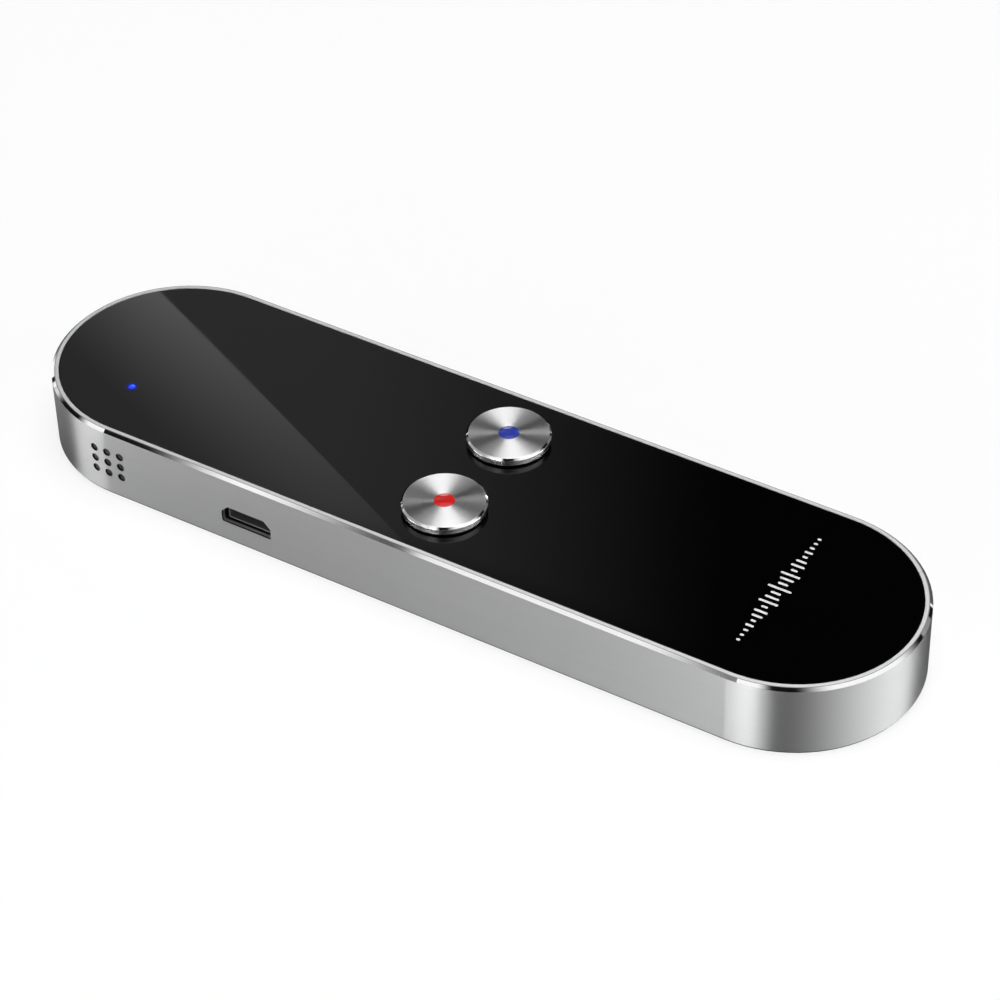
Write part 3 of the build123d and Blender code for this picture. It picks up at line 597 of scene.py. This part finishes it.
def antenna_copper(tree):
    """Amber film over copper, with the copper's grain showing through."""
    grain = tree.noise(tree.point(200, 3500, 3500), detail=4.0)
    cloud = tree.noise(tree.point(260), detail=2.0)
    return tree.principled(
        Base_Color=tree.mix(grain * 0.6 + cloud * 0.4, (0.5, 0.2, 0.05), (0.75, 0.36, 0.12)),
        Metallic=0.85,
        Roughness=tree.spread(grain, 0.25, 0.4),
        Coat_Weight=0.6,
        Coat_Roughness=0.12,
        Normal=tree.bump(grain, 0.003),
    )


def battery_foil(tree):
    """Laminated pouch foil: dull silver with long shallow wrinkles."""
    wrinkles = tree.noise(tree.point(70, 160, 160), detail=3.0, roughness=0.4)
    grain = tree.noise(tree.point(5000), detail=2.0)
    return tree.principled(
        Base_Color=tree.mix(grain, 0.55, 0.68),
        Metallic=0.9,
        Roughness=tree.spread(grain * 0.4 + wrinkles * 0.6, 0.34, 0.5),
        Normal=tree.bump(grain, 0.002, tree.bump(wrinkles, 0.25)),
    )


def lead_sleeve(tree):
    """Two leads side by side: one sleeved in red, the other in black."""
    _, y, _ = tree.place()
    middle = middle_of("battery_leads").y
    rubbing = tree.noise(tree.point(600, 4000, 4000), detail=3.0)
    red = tree.mix(rubbing, (0.45, 0.012, 0.01), (0.6, 0.03, 0.02))
    black = tree.mix(rubbing, 0.012, 0.03)
    return tree.principled(
        Base_Color=tree.mix(tree.between(y, middle - EDGE_BLUR, middle + EDGE_BLUR), red, black),
        Roughness=tree.spread(rubbing, 0.38, 0.55),
        Normal=tree.bump(rubbing, 0.008),
    )


def foam(tree):
    """Open-cell foam."""
    cells = {"Vector": tree.point(4500), "Scale": 1.0}
    pores = tree.get("ShaderNodeTexVoronoi", {"feature": "DISTANCE_TO_EDGE"}, cells, output="Distance")
    tone = tree.noise(tree.point(500), detail=3.0)
    return tree.principled(
        Base_Color=tree.mix(tree.between(pores * 2 + tone * 0.4, 0.1, 0.6), 0.008, 0.05),
        Roughness=tree.spread(tone, 0.8, 0.95),
        Normal=tree.bump(pores, 0.08),
    )


FINISHES = (
    satin_aluminium, spun_aluminium, black_panel, adhesive, black_cover, screw_steel, blue_enamel,
    red_enamel, black_moulding, switch_plate, board_laminate, chip_resin, nickel_can, copper_coil,
    ceramic_parts, lamp, blue_light, port_steel, gold_contacts, battery_foil, lead_sleeve,
    antenna_copper, mesh_steel, foam, magnet, diaphragm, boot_rubber, panel_print,
)

made_finishes = {build.__name__: finish_of(build) for build in FINISHES}
for node in nodes.values():
    for holder in node.material_slots:
        holder.material = made_finishes[holder.material.name.split(".")[0]]


# ================================================================ meshes worked out as arrays
def mesh_object(name, points, faces, material):
    """A new object at the origin, with points in millimetres."""
    mesh = bpy.data.meshes.new(name)
    mesh.from_pydata((points * MM).tolist(), [], faces)
    mesh.materials.append(material)
    made = bpy.data.objects.new(name, mesh)
    bpy.context.scene.collection.objects.link(made)
    return made


def piece(name, points, faces, finish, body, *replaced, smooth=True):
    """A piece that rides on a body, and may take the place of nodes."""
    made = mesh_object(name, points, faces, made_finishes[finish])
    if smooth:
        made.data.shade_smooth()
    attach(made, body)
    if replaced:
        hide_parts(*replaced)


CORNER_STEPS = 5
GUARD_REACH = 1.6


def rounded(corners, radius):
    """Profile whose inner corners become arcs of that radius, with a point just before and after each.

    At a corner the arc is the quadratic curve from the point one reach back along one side, through
    the corner's pull, to the point one reach along the other side. The points before and after it keep
    the sides flat under smooth shading.
    """
    corners = np.array(corners, dtype=float)
    parts = [corners[:1]]
    share = np.linspace(0, 1, CORNER_STEPS)[:, None]
    for before, corner, after in zip(corners, corners[1:], corners[2:]):
        back = (before - corner) / np.linalg.norm(before - corner)
        ahead = (after - corner) / np.linalg.norm(after - corner)
        curve = corner + radius * (back * (1 - share) ** 2 + ahead * share**2)
        guards = [corner + side[None] * radius * GUARD_REACH for side in (back, ahead)]
        parts += [guards[0], curve, guards[1]]
    return np.concatenate(parts + [corners[-1:]])


def turned(profile, centre, segments):
    """Points and faces of a profile of radius and height carried round an upright axis.

    Point (i, j) lies at radius r_i, height z_i and angle 2 pi j / segments. The two ends of the profile
    are on the axis, and each is one point that a fan of triangles closes.
    """
    inner = profile[1:-1]
    angle = np.linspace(0, 2 * math.pi, segments, endpoint=False)
    around = np.stack([np.cos(angle), np.sin(angle)], 1)
    rings = inner[:, None, :1] * around[None]
    heights = np.broadcast_to(inner[:, None, 1:], (len(inner), segments, 1))
    poles = np.array([[0, 0, profile[0, 1]], [0, 0, profile[-1, 1]]])
    points = np.concatenate([np.concatenate([rings, heights], 2).reshape(-1, 3), poles])
    points[:, :2] += centre
    row, column = np.meshgrid(np.arange(len(inner) - 1), np.arange(segments), indexing="ij")
    here, above = row * segments, (row + 1) * segments
    after = (column + 1) % segments
    quads = np.stack([here + column, here + after, above + after, above + column], -1).reshape(-1, 4)
    step = np.arange(segments)
    following = (step + 1) % segments
    last_ring = (len(inner) - 1) * segments
    first_pole, last_pole = len(points) - 2, len(points) - 1
    start_fan = np.stack([np.full(segments, first_pole), following, step], 1)
    end_fan = np.stack([last_ring + step, last_ring + following, np.full(segments, last_pole)], 1)
    return points, quads.tolist() + start_fan.tolist() + end_fan.tolist()


# ================================================================ buttons
BUTTON_COLOURS = ("blue", "red")
CAP_EDGE = 0.025
CAP_SEGMENTS = 160
DOT_SEAT = 0.02
DOT_EDGE = 0.05
DOT_SEGMENTS = 96
CROWN_STEPS = 20
CROWN_POWER = 2.2


def button(colour):
    """Cap and dot of one push button, each turned about the button's own axis.

    The dot's crown has its height z = top - crown * (r / reach) ** power, and a small arc at its edge.
    """
    cap_low, cap_high = box_of(f"{colour}_button_cap")
    dot_low, dot_high = box_of(f"{colour}_button_dot")
    centre = ((cap_low.x + cap_high.x) / 2, (cap_low.y + cap_high.y) / 2)
    reach = (cap_high.x - cap_low.x) / 2
    dot_reach = (dot_high.x - dot_low.x) / 2
    top, bottom = cap_high.z, cap_low.z
    cap_corners = [
        (0, bottom),
        (reach, bottom),
        (reach, top - CAP_BEVEL_DROP),
        (reach - CAP_BEVEL_WIDTH, top),
        (dot_reach, top),
        (dot_reach, dot_low.z),
        (0, dot_low.z),
    ]
    points, faces = turned(rounded(cap_corners, CAP_EDGE), centre, CAP_SEGMENTS)
    piece(f"{colour}_cap", points, faces, "spun_aluminium", f"{colour}_button", f"{colour}_button_cap")
    crown_reach = dot_reach - DOT_SEAT
    share = np.linspace(1, 0, CROWN_STEPS)
    height = dot_high.z - (dot_high.z - top) * share**CROWN_POWER
    crown = np.stack([crown_reach * share, height], 1)
    foot = rounded([(0, dot_low.z), (crown_reach, dot_low.z), (crown_reach, top)], DOT_EDGE)
    points, faces = turned(np.concatenate([foot, crown[1:]]), centre, DOT_SEGMENTS)
    piece(f"{colour}_dot", points, faces, f"{colour}_enamel", f"{colour}_button", f"{colour}_button_dot")


for colour in BUTTON_COLOURS:
    button(colour)

# ================================================================ grille mesh
WIRE_PITCH = 0.17
WIRE_SIDES = 4
STEPS_PER_CROSSING = 2
WIRES_DEEP = 2


def wires(along, across, phase_step):
    """Points and faces of parallel wires that weave in and out, crossing by half a wave from each other.

    Along its length u a wire stands out by radius * cos(pi * (u / pitch + number + phase_step)), and
    round that line its section is a circle of the wire's radius.
    """
    mesh_low, mesh_high = box_of("grille_mesh")
    radius = (mesh_high.y - mesh_low.y) / (2 * WIRES_DEEP)
    middle = (mesh_low.y + mesh_high.y) / 2
    length = mesh_high[along] - mesh_low[along] - 2 * radius
    width = mesh_high[across] - mesh_low[across] - 2 * radius
    count = int(width / WIRE_PITCH)
    samples = int(length / WIRE_PITCH) * STEPS_PER_CROSSING + 1
    u = np.linspace(0, length, samples)
    number = np.arange(count)
    angle = np.linspace(0, 2 * math.pi, WIRE_SIDES, endpoint=False)
    wave = radius * np.cos(math.pi * u[None] / WIRE_PITCH + math.pi * (number[:, None] + phase_step))
    points = np.empty((count, samples, WIRE_SIDES, 3))
    points[..., along] = mesh_low[along] + radius + u[None, :, None]
    offset = mesh_low[across] + radius + (number + 0.5) * WIRE_PITCH
    points[..., across] = offset[:, None, None] + radius * np.cos(angle)
    points[..., 1] = middle + wave[..., None] + radius * np.sin(angle)
    ends = np.arange(WIRE_SIDES)
    wire, step, side = np.meshgrid(number, np.arange(samples - 1), ends, indexing="ij")
    here = wire * samples * WIRE_SIDES + step * WIRE_SIDES
    there = here + WIRE_SIDES
    after = (side + 1) % WIRE_SIDES
    quads = np.stack([here + side, here + after, there + after, there + side], -1).reshape(-1, 4)
    starts = number[:, None] * samples * WIRE_SIDES
    first_caps = starts + ends[::-1]
    last_caps = starts + (samples - 1) * WIRE_SIDES + ends
    # Upright wires are worked out in a mirrored set of axes, so their faces are turned back outwards.
    if along == 2:
        quads, first_caps, last_caps = quads[:, ::-1], first_caps[:, ::-1], last_caps[:, ::-1]
    return points.reshape(-1, 3), np.concatenate([quads, first_caps, last_caps])


def woven_mesh():
    """Sound grille's mesh: wires along the length woven with upright wires."""
    level_points, level_faces = wires(0, 2, 0)
    upright_points, upright_faces = wires(2, 0, 1)
    points = np.concatenate([level_points, upright_points])
    faces = level_faces.tolist() + (upright_faces + len(level_points)).tolist()
    piece("woven_mesh", points, faces, "mesh_steel", "case", "grille_mesh")


woven_mesh()

# ================================================================ printed mark
BAR_COUNT = 23
BAR_PITCH = 1.1
BAR_WIDTH = 0.42
BAR_SHORT = 0.55
BAR_LONG = 3.7
BAR_FROM_END = 21.6
BAR_LINE = HALF_LENGTH - BAR_FROM_END
BAR_END_STEPS = 8
RIPPLE_SHARE = 0.4
RIPPLE_TURN = 2.3
INK_THICKNESS = 0.006


def level_bars():
    """Row of round-ended bars like a sound level, printed across the panel.

    Bar i is as long as short + (long - short) * cos(pi i / (count + 1)) ** 2 * ripple, where the ripple
    is 1 - share + share * cos(turn * i), and its outline is two half circles joined by straight sides.
    """
    number = np.arange(BAR_COUNT) - (BAR_COUNT - 1) / 2
    ripple = 1 - RIPPLE_SHARE + RIPPLE_SHARE * np.cos(RIPPLE_TURN * number)
    swell = np.cos(math.pi * number / (BAR_COUNT + 1)) ** 2 * ripple
    length = BAR_SHORT + (BAR_LONG - BAR_SHORT) * swell
    radius = BAR_WIDTH / 2
    half_turn = np.linspace(-math.pi / 2, math.pi / 2, BAR_END_STEPS)
    turn = np.concatenate([half_turn, half_turn + math.pi])
    side = np.repeat([1, -1], BAR_END_STEPS)
    outline_x = BAR_LINE + side * (length[:, None] / 2 - radius) + radius * np.cos(turn)
    outline_y = number[:, None] * BAR_PITCH + np.broadcast_to(radius * np.sin(turn), outline_x.shape)
    levels = [
        np.stack([outline_x, outline_y, np.full_like(outline_x, z)], -1)
        for z in (PANEL_TOP, PANEL_TOP + INK_THICKNESS)
    ]
    points = np.stack(levels, 1).reshape(-1, 3)
    around = len(turn)
    start = np.arange(BAR_COUNT)[:, None] * 2 * around
    step = np.arange(around)
    after = (step + 1) % around
    over = start + around
    walls = np.stack([start + step, start + after, over + after, over + step], -1)
    underside, face = start + step[::-1], over + step
    faces = underside.tolist() + face.tolist() + walls.reshape(-1, 4).tolist()
    piece("level_bars", points, faces, "panel_print", "case", smooth=False)


level_bars()

# ================================================================ studio: floor and ceiling
DISC_STEPS = 128
FLOOR_RADIUS = 6000
FLOOR_DROP = 0.02
FLOOR_TONE = 0.08
FLOOR_TONE_SEEN = 0.2

# Glow of the floor in reflections, its glow close to the object, and the distances from the object over
# which it becomes all white. Closer than that, reflections meet no glow: a painted shadow round the
# object.
FLOOR_GLOW = 0.95
FLOOR_GLOW_CLOSE = 0.765
FAR_FLOOR = (380, 640)

# A painted patch of light on the nearer floor past the indicator's end, which reflections show as white
# within the painted shadow: the distances from the object over which it starts, and the x over which it
# ends.
PAINTED_PATCH_DISTANCES = (30, 80)
PAINTED_PATCH_END = (-120, -60)

# Under the object the floor is clear up to this far inside the outline.
CLEAR_MARGIN = 0.4
CLEAR_BLUR = 0.1

# Ceiling of the light tent, with its grey level and the bright patch in it.
TENT_RADIUS = 650
TENT_HEIGHT = 850
CEILING_TONE = 0.6
PATCH_RADIUS = 330
PATCH_BLUR = 60
PATCH_PLACE = (80, 50)
PATCH_POWER = 4.3


def studio_object(name, points, faces, build, seen=True):
    """A part of the studio, which the camera sees or looks through."""
    made = mesh_object(name, points, faces, finish_of(build))
    if not seen:
        made.visible_camera = False


def disc(radius, height, turn_way):
    """Points on a circle and one face, which looks up for a turn_way of 1 and down for one of -1."""
    turn = np.linspace(0, turn_way * 2 * math.pi, DISC_STEPS, endpoint=False)
    points = np.stack([np.cos(turn) * radius, np.sin(turn) * radius, np.full_like(turn, height)], 1)
    return points, [list(range(DISC_STEPS))]


def pale_floor(tree):
    """Pale floor: white where the camera or a reflection meets it, and it keeps the shadow. Reflections
    meet a painted shadow round the object, with a painted patch of light past the indicator's end.

    It is clear from below and under the object, so that the object's base can be looked at.
    """
    rays = tree.add("ShaderNodeLightPath")
    camera_ray, glossy_ray, transmission_ray = (
        Socket(tree, rays.outputs[f"Is {kind} Ray"]) for kind in ("Camera", "Glossy", "Transmission")
    )
    reach = stadium_reach(tree)
    away = reach - HALF_WIDTH
    far_floor = tree.between(away, *FAR_FLOOR)
    x, _, _ = tree.place()
    painted_light_patch = tree.between(away, *PAINTED_PATCH_DISTANCES) * tree.fade(x, *PAINTED_PATCH_END)
    glow_in_reflections = tree.math("MAXIMUM", far_floor, painted_light_patch)
    looked_at = tree.math("MAXIMUM", camera_ray, transmission_ray)
    white = FLOOR_GLOW_CLOSE + far_floor * (1.0 - FLOOR_GLOW_CLOSE)
    # Painted shadow and painted light for reflections: they see the glow only on the far floor and in
    # the painted patch.
    glow_level = tree.math("MAXIMUM", looked_at * white, glossy_ray * glow_in_reflections * FLOOR_GLOW)
    tone = tree.mix(looked_at, FLOOR_TONE, FLOOR_TONE_SEEN)
    matt = tree.get("ShaderNodeBsdfDiffuse", None, {"Color": tone})
    floor = tree.get("ShaderNodeAddShader", None, {0: matt, 1: tree.glow(glow_level)})
    from_below = tree.get("ShaderNodeNewGeometry", output="Backfacing")
    clear_edge = HALF_WIDTH - CLEAR_MARGIN
    covered = tree.fade(reach, clear_edge, clear_edge + CLEAR_BLUR)
    clear = tree.get("ShaderNodeBsdfTransparent", None, {"Color": rgba(1.0)})
    return tree.mix_shader(tree.math("MAXIMUM", from_below, covered), floor, clear)


def soft_ceiling(tree):
    """Ceiling of the tent: a soft grey with a broad bright patch overhead."""
    x, y, _ = tree.place()
    away = tree.distance(x - PATCH_PLACE[0], y - PATCH_PLACE[1])
    patch = tree.fade(away, PATCH_RADIUS - PATCH_BLUR, PATCH_RADIUS + PATCH_BLUR)
    return tree.glow(CEILING_TONE + patch * PATCH_POWER)


# ================================================================ studio: light tent
TENT_FOOT = 10
TENT_COLUMNS = 256
TENT_BASE = 0.006

# Band of upper panels: the angle where its middle is highest and that height, how it bends down on both
# sides, its reach below and above, and the angles between which its upper edge is raised, with the
# width of the soft edge at each end.
BAND_MIDDLE = -57.6
BAND_LINE = 650
BAND_BEND = 0.045
BAND_BELOW = 100
BAND_ABOVE = 110
BAND_BLUR = 15
BAND_RAISE = 80
RAISED_ANGLES = (-50, 46, 10, 6)

# Lit panels of the tent: start and stop in degrees round the object from +X, the width over which
# each side fades, and the strength.
LIT_PANELS = (
    (-154.0, -133.0, 10.0, 0.3, 1.0),
    (-130.5, -122.3, 2.9, 5.0, 1.0),
    (-122.0, -111.0, 0.3, 3.5, 0.95),
    (-115.0, -101.0, 3.0, 0.5, 0.2),
    (-102.5, -72.5, 0.5, 14.0, 1.0),
    (-55.0, 43.0, 34.0, 22.0, 1.0),
    (46.0, 62.0, 0.5, 14.0, 0.3),
    (160.0, 192.0, 6.0, 16.0, 0.9),
)

# Low ring of lamps that the upright wall shows, in the same form. It is taller between two angles.
LOW_PANELS = (
    (-158.0, -124.5, 9.0, 5.0, 0.6),
    (-131.0, -110.0, 4.0, 3.0, 0.2),
    (-119.5, -67.0, 31.0, 21.0, 1.1),
    (-64.0, 58.0, 94.0, 38.0, 0.97),
)
LOW_POWER = 11.0
LOW_RING = 60
LOW_RING_RISE = 130
TALL_ANGLES = (-170, 40, 14, 14)
LAMP_BLUR = 4

# Curtain in front of a part of the band: the height of its foot at one angle, how that rises and bends
# with the angle, the angles over which the curtain ends, and how bright it is from one angle to another.
CURTAIN_START = -142
CURTAIN_FOOT = 397
CURTAIN_RISE = 6.9
CURTAIN_BEND = 0.022
CURTAIN_END = (-84, -74)
CURTAIN_TONE = (-134, -108, 0.38, 1.0)

# Wall behind: the angles over which it comes up to its strength and falls to a share of it.
BACK_RISE = (113, 129, 0.0, 0.34)
BACK_FALL = (132, 150, 1.0, 0.6)

# Bright corner of the wall behind, above a slanted line: the line's height at an angle and its fall for
# each degree, its sharp edge, how far up and how fast it dies away, its strength, and its end.
CORNER_LINE = (454, 133, 17.7)
CORNER_EDGE = 0.8
CORNER_REACH = 80.0
CORNER_POWER = 1.5
CORNER_TONE = (125, 134, 0.08, 1.03)
CORNER_END = (150, 160)

# Slanted window through which the wall behind is seen: the line of its middle and half of its height.
WINDOW_LINE = (463, 136, 5.86)
WINDOW_HALF = 55
WINDOW_BLUR = 30

# Small cards behind: angle, height, half of their width in degrees and height, and the strength. The
# edge is soft over a share of those halves on both sides.
CARDS = (
    (100.0, 440.0, 5.0, 45.0, 4.5),
    (124.0, 300.0, 5.0, 40.0, 3.5),
)
CARD_SOFTNESS = 0.4

# Strips at the sides, two tall and faint and one short and brighter: start and stop in degrees, their
# fade, lowest and highest place, and the strength.
STRIPS = (
    (50.0, 82.0, 8.0, 60.0, 228.0, 0.17),
    (163.0, 188.0, 6.0, 60.0, 236.0, 0.17),
    (168.0, 184.0, 4.0, 35.0, 72.0, 0.9),
)
STRIP_FADE = 10.0


def turns_of(angle, stop):
    """The angle, and one turn on as well for a panel that reaches past 180 degrees."""
    return (angle, angle + 360) if stop > 180 else (angle,)


def lit_ring(tree, angle, panels):
    """Sum of soft-edged panels round the ring."""
    return sum_of(
        tree.within(here, start, stop, rise, fall) * strength
        for start, stop, rise, fall, strength in panels
        for here in turns_of(angle, stop)
    )


def upper_band(tree, angle, z):
    """Upper panels, in a band whose middle falls with the square of the angle from the band's top."""
    off = tree.math("WRAP", angle - BAND_MIDDLE, 180, -180)
    place = z - BAND_LINE + off * off * BAND_BEND
    raised = tree.within(angle, *RAISED_ANGLES) * BAND_RAISE
    foot = tree.between(place, -BAND_BELOW - BAND_BLUR, -BAND_BELOW + BAND_BLUR)
    head = tree.fade(place - raised, BAND_ABOVE - BAND_BLUR, BAND_ABOVE + BAND_BLUR)
    return lit_ring(tree, angle, LIT_PANELS) * (foot * head)


def curtained(tree, angle, z, light):
    """That light with a curtain in front of it, whose foot is a parabola over the angle."""
    along = angle - CURTAIN_START
    foot = CURTAIN_FOOT + CURTAIN_RISE * along - CURTAIN_BEND * along * along
    curtain = tree.between(z - foot, -LAMP_BLUR, LAMP_BLUR) * tree.fade(angle, *CURTAIN_END)
    return light * (1 - curtain) + curtain * tree.between(angle, *CURTAIN_TONE)


def over_line(angle, z, height, at, fall):
    """Height over a slanted line that passes a height at an angle and falls by so much a degree."""
    return z - height - (at - angle) * fall


def light_behind(tree, angle, z):
    """Dim wall with a bright corner, both seen through a slanted window, and small cards."""
    wall = tree.between(angle, *BACK_RISE) * tree.between(angle, *BACK_FALL)
    above = over_line(angle, z, *CORNER_LINE)
    dying = tree.fade(above, 0.0, CORNER_REACH, smooth=False) ** CORNER_POWER
    corner = tree.between(above, 0.0, CORNER_EDGE) * dying
    corner = corner * tree.between(angle, *CORNER_TONE, smooth=False)
    wall = wall + corner * tree.fade(angle, *CORNER_END)
    from_window = abs(over_line(angle, z, *WINDOW_LINE))
    light = wall * tree.fade(from_window, WINDOW_HALF, WINDOW_HALF + WINDOW_BLUR)
    for card_angle, card_height, half_angle, half_height, power in CARDS:
        card = power
        for place, middle, half in ((angle, card_angle, half_angle), (z, card_height, half_height)):
            softness = half * CARD_SOFTNESS
            card = card * tree.fade(abs(place - middle), half - softness, half + softness)
        light = light + card
    return light


def side_strips(tree, angle, z):
    """Sum of the upright strips, each soft on all its four sides."""
    strips = []
    for start, stop, fade, foot, head, power in STRIPS:
        for here in turns_of(angle, stop):
            upright = tree.within(z, foot, head, STRIP_FADE, STRIP_FADE)
            strips.append(tree.within(here, start, stop, fade, fade) * upright * power)
    return sum_of(strips)


def tent_light(tree):
    """Light of the tent's wall: brightness is a function of the angle round the object and of height.

    The upper band, with its curtain, is what the edge chamfers show, and the low ring is what the
    upright walls show. The panel shows the dim wall behind. Small cards stand behind too, and strips at
    the sides.
    """
    x, y, z = tree.place()
    angle = tree.math("ARCTAN2", y, x) * math.degrees(1)
    upper = curtained(tree, angle, z, upper_band(tree, angle, z))
    lower = lit_ring(tree, angle, LOW_PANELS) * LOW_POWER
    lamp_top = LOW_RING + LOW_RING_RISE * tree.within(angle, *TALL_ANGLES)
    low_part = tree.fade(z - lamp_top, -LAMP_BLUR, LAMP_BLUR)
    ring = lower * low_part + upper * (1 - low_part)
    return tree.glow(ring + light_behind(tree, angle, z) + side_strips(tree, angle, z) + TENT_BASE)


def tent_wall():
    """Upright cylinder open at both ends: a grid of angle and height, seen from inside."""
    turn = np.linspace(0, 2 * math.pi, TENT_COLUMNS, endpoint=False)
    ring = np.stack([np.cos(turn), np.sin(turn)], 1) * TENT_RADIUS
    rows = [np.column_stack([ring, np.full(TENT_COLUMNS, z)]) for z in (TENT_FOOT, TENT_HEIGHT)]
    first = np.arange(TENT_COLUMNS)
    after = (first + 1) % TENT_COLUMNS
    faces = np.stack([after, first, first + TENT_COLUMNS, after + TENT_COLUMNS], 1)
    return np.concatenate(rows), faces.tolist()


studio_object("floor", *disc(FLOOR_RADIUS, -FLOOR_DROP, 1), pale_floor)
studio_object("light_tent", *tent_wall(), tent_light, seen=False)
studio_object("ceiling", *disc(TENT_RADIUS, TENT_HEIGHT, -1), soft_ceiling, seen=False)

world = bpy.data.worlds.new("studio")
bpy.context.scene.world = world
world.use_nodes = True
world_tree = Tree(world.node_tree)
ambient = world_tree.get("ShaderNodeBackground", None, {"Color": rgba(1.0), "Strength": 1.0})
world_tree.add("ShaderNodeOutputWorld", None, {"Surface": ambient})

# ================================================================ camera
CAMERA_AZIMUTH = 32.379
CAMERA_ELEVATION = 40.248
CAMERA_ROLL = -1.336
CAMERA_DISTANCE = 504.7
CAMERA_SLIDE = (3.819, 5.171)
FOCAL_PIXELS = 3409.8
FRAME_PIXELS = 1000
SENSOR_WIDTH = 36.0
CLIP_START = 10


def camera():
    """Camera on a line of sight given by azimuth and elevation, slid across it and rolled."""
    azimuth, elevation, roll = (math.radians(a) for a in (CAMERA_AZIMUTH, CAMERA_ELEVATION, CAMERA_ROLL))
    distance, aside, above = (size * MM for size in (CAMERA_DISTANCE, *CAMERA_SLIDE))
    flat = math.cos(elevation)
    back = Vector((math.sin(azimuth) * flat, -math.cos(azimuth) * flat, math.sin(elevation)))
    right = Vector((0, 0, 1)).cross(back).normalized()
    up = back.cross(right)
    place = back * distance + right * aside + up * above
    rolled_right = right * math.cos(roll) + up * math.sin(roll)
    rolled_up = up * math.cos(roll) - right * math.sin(roll)
    data = bpy.data.cameras.new("camera")
    data.sensor_width = SENSOR_WIDTH
    data.lens = FOCAL_PIXELS * SENSOR_WIDTH / FRAME_PIXELS
    data.clip_start = CLIP_START * MM
    made = bpy.data.objects.new("camera", data)
    axes = Matrix((rolled_right, rolled_up, back)).transposed().to_4x4()
    made.matrix_world = Matrix.Translation(place) @ axes
    bpy.context.scene.collection.objects.link(made)
    bpy.context.scene.camera = made


camera()
bpy.context.scene.view_settings.view_transform = "Standard"
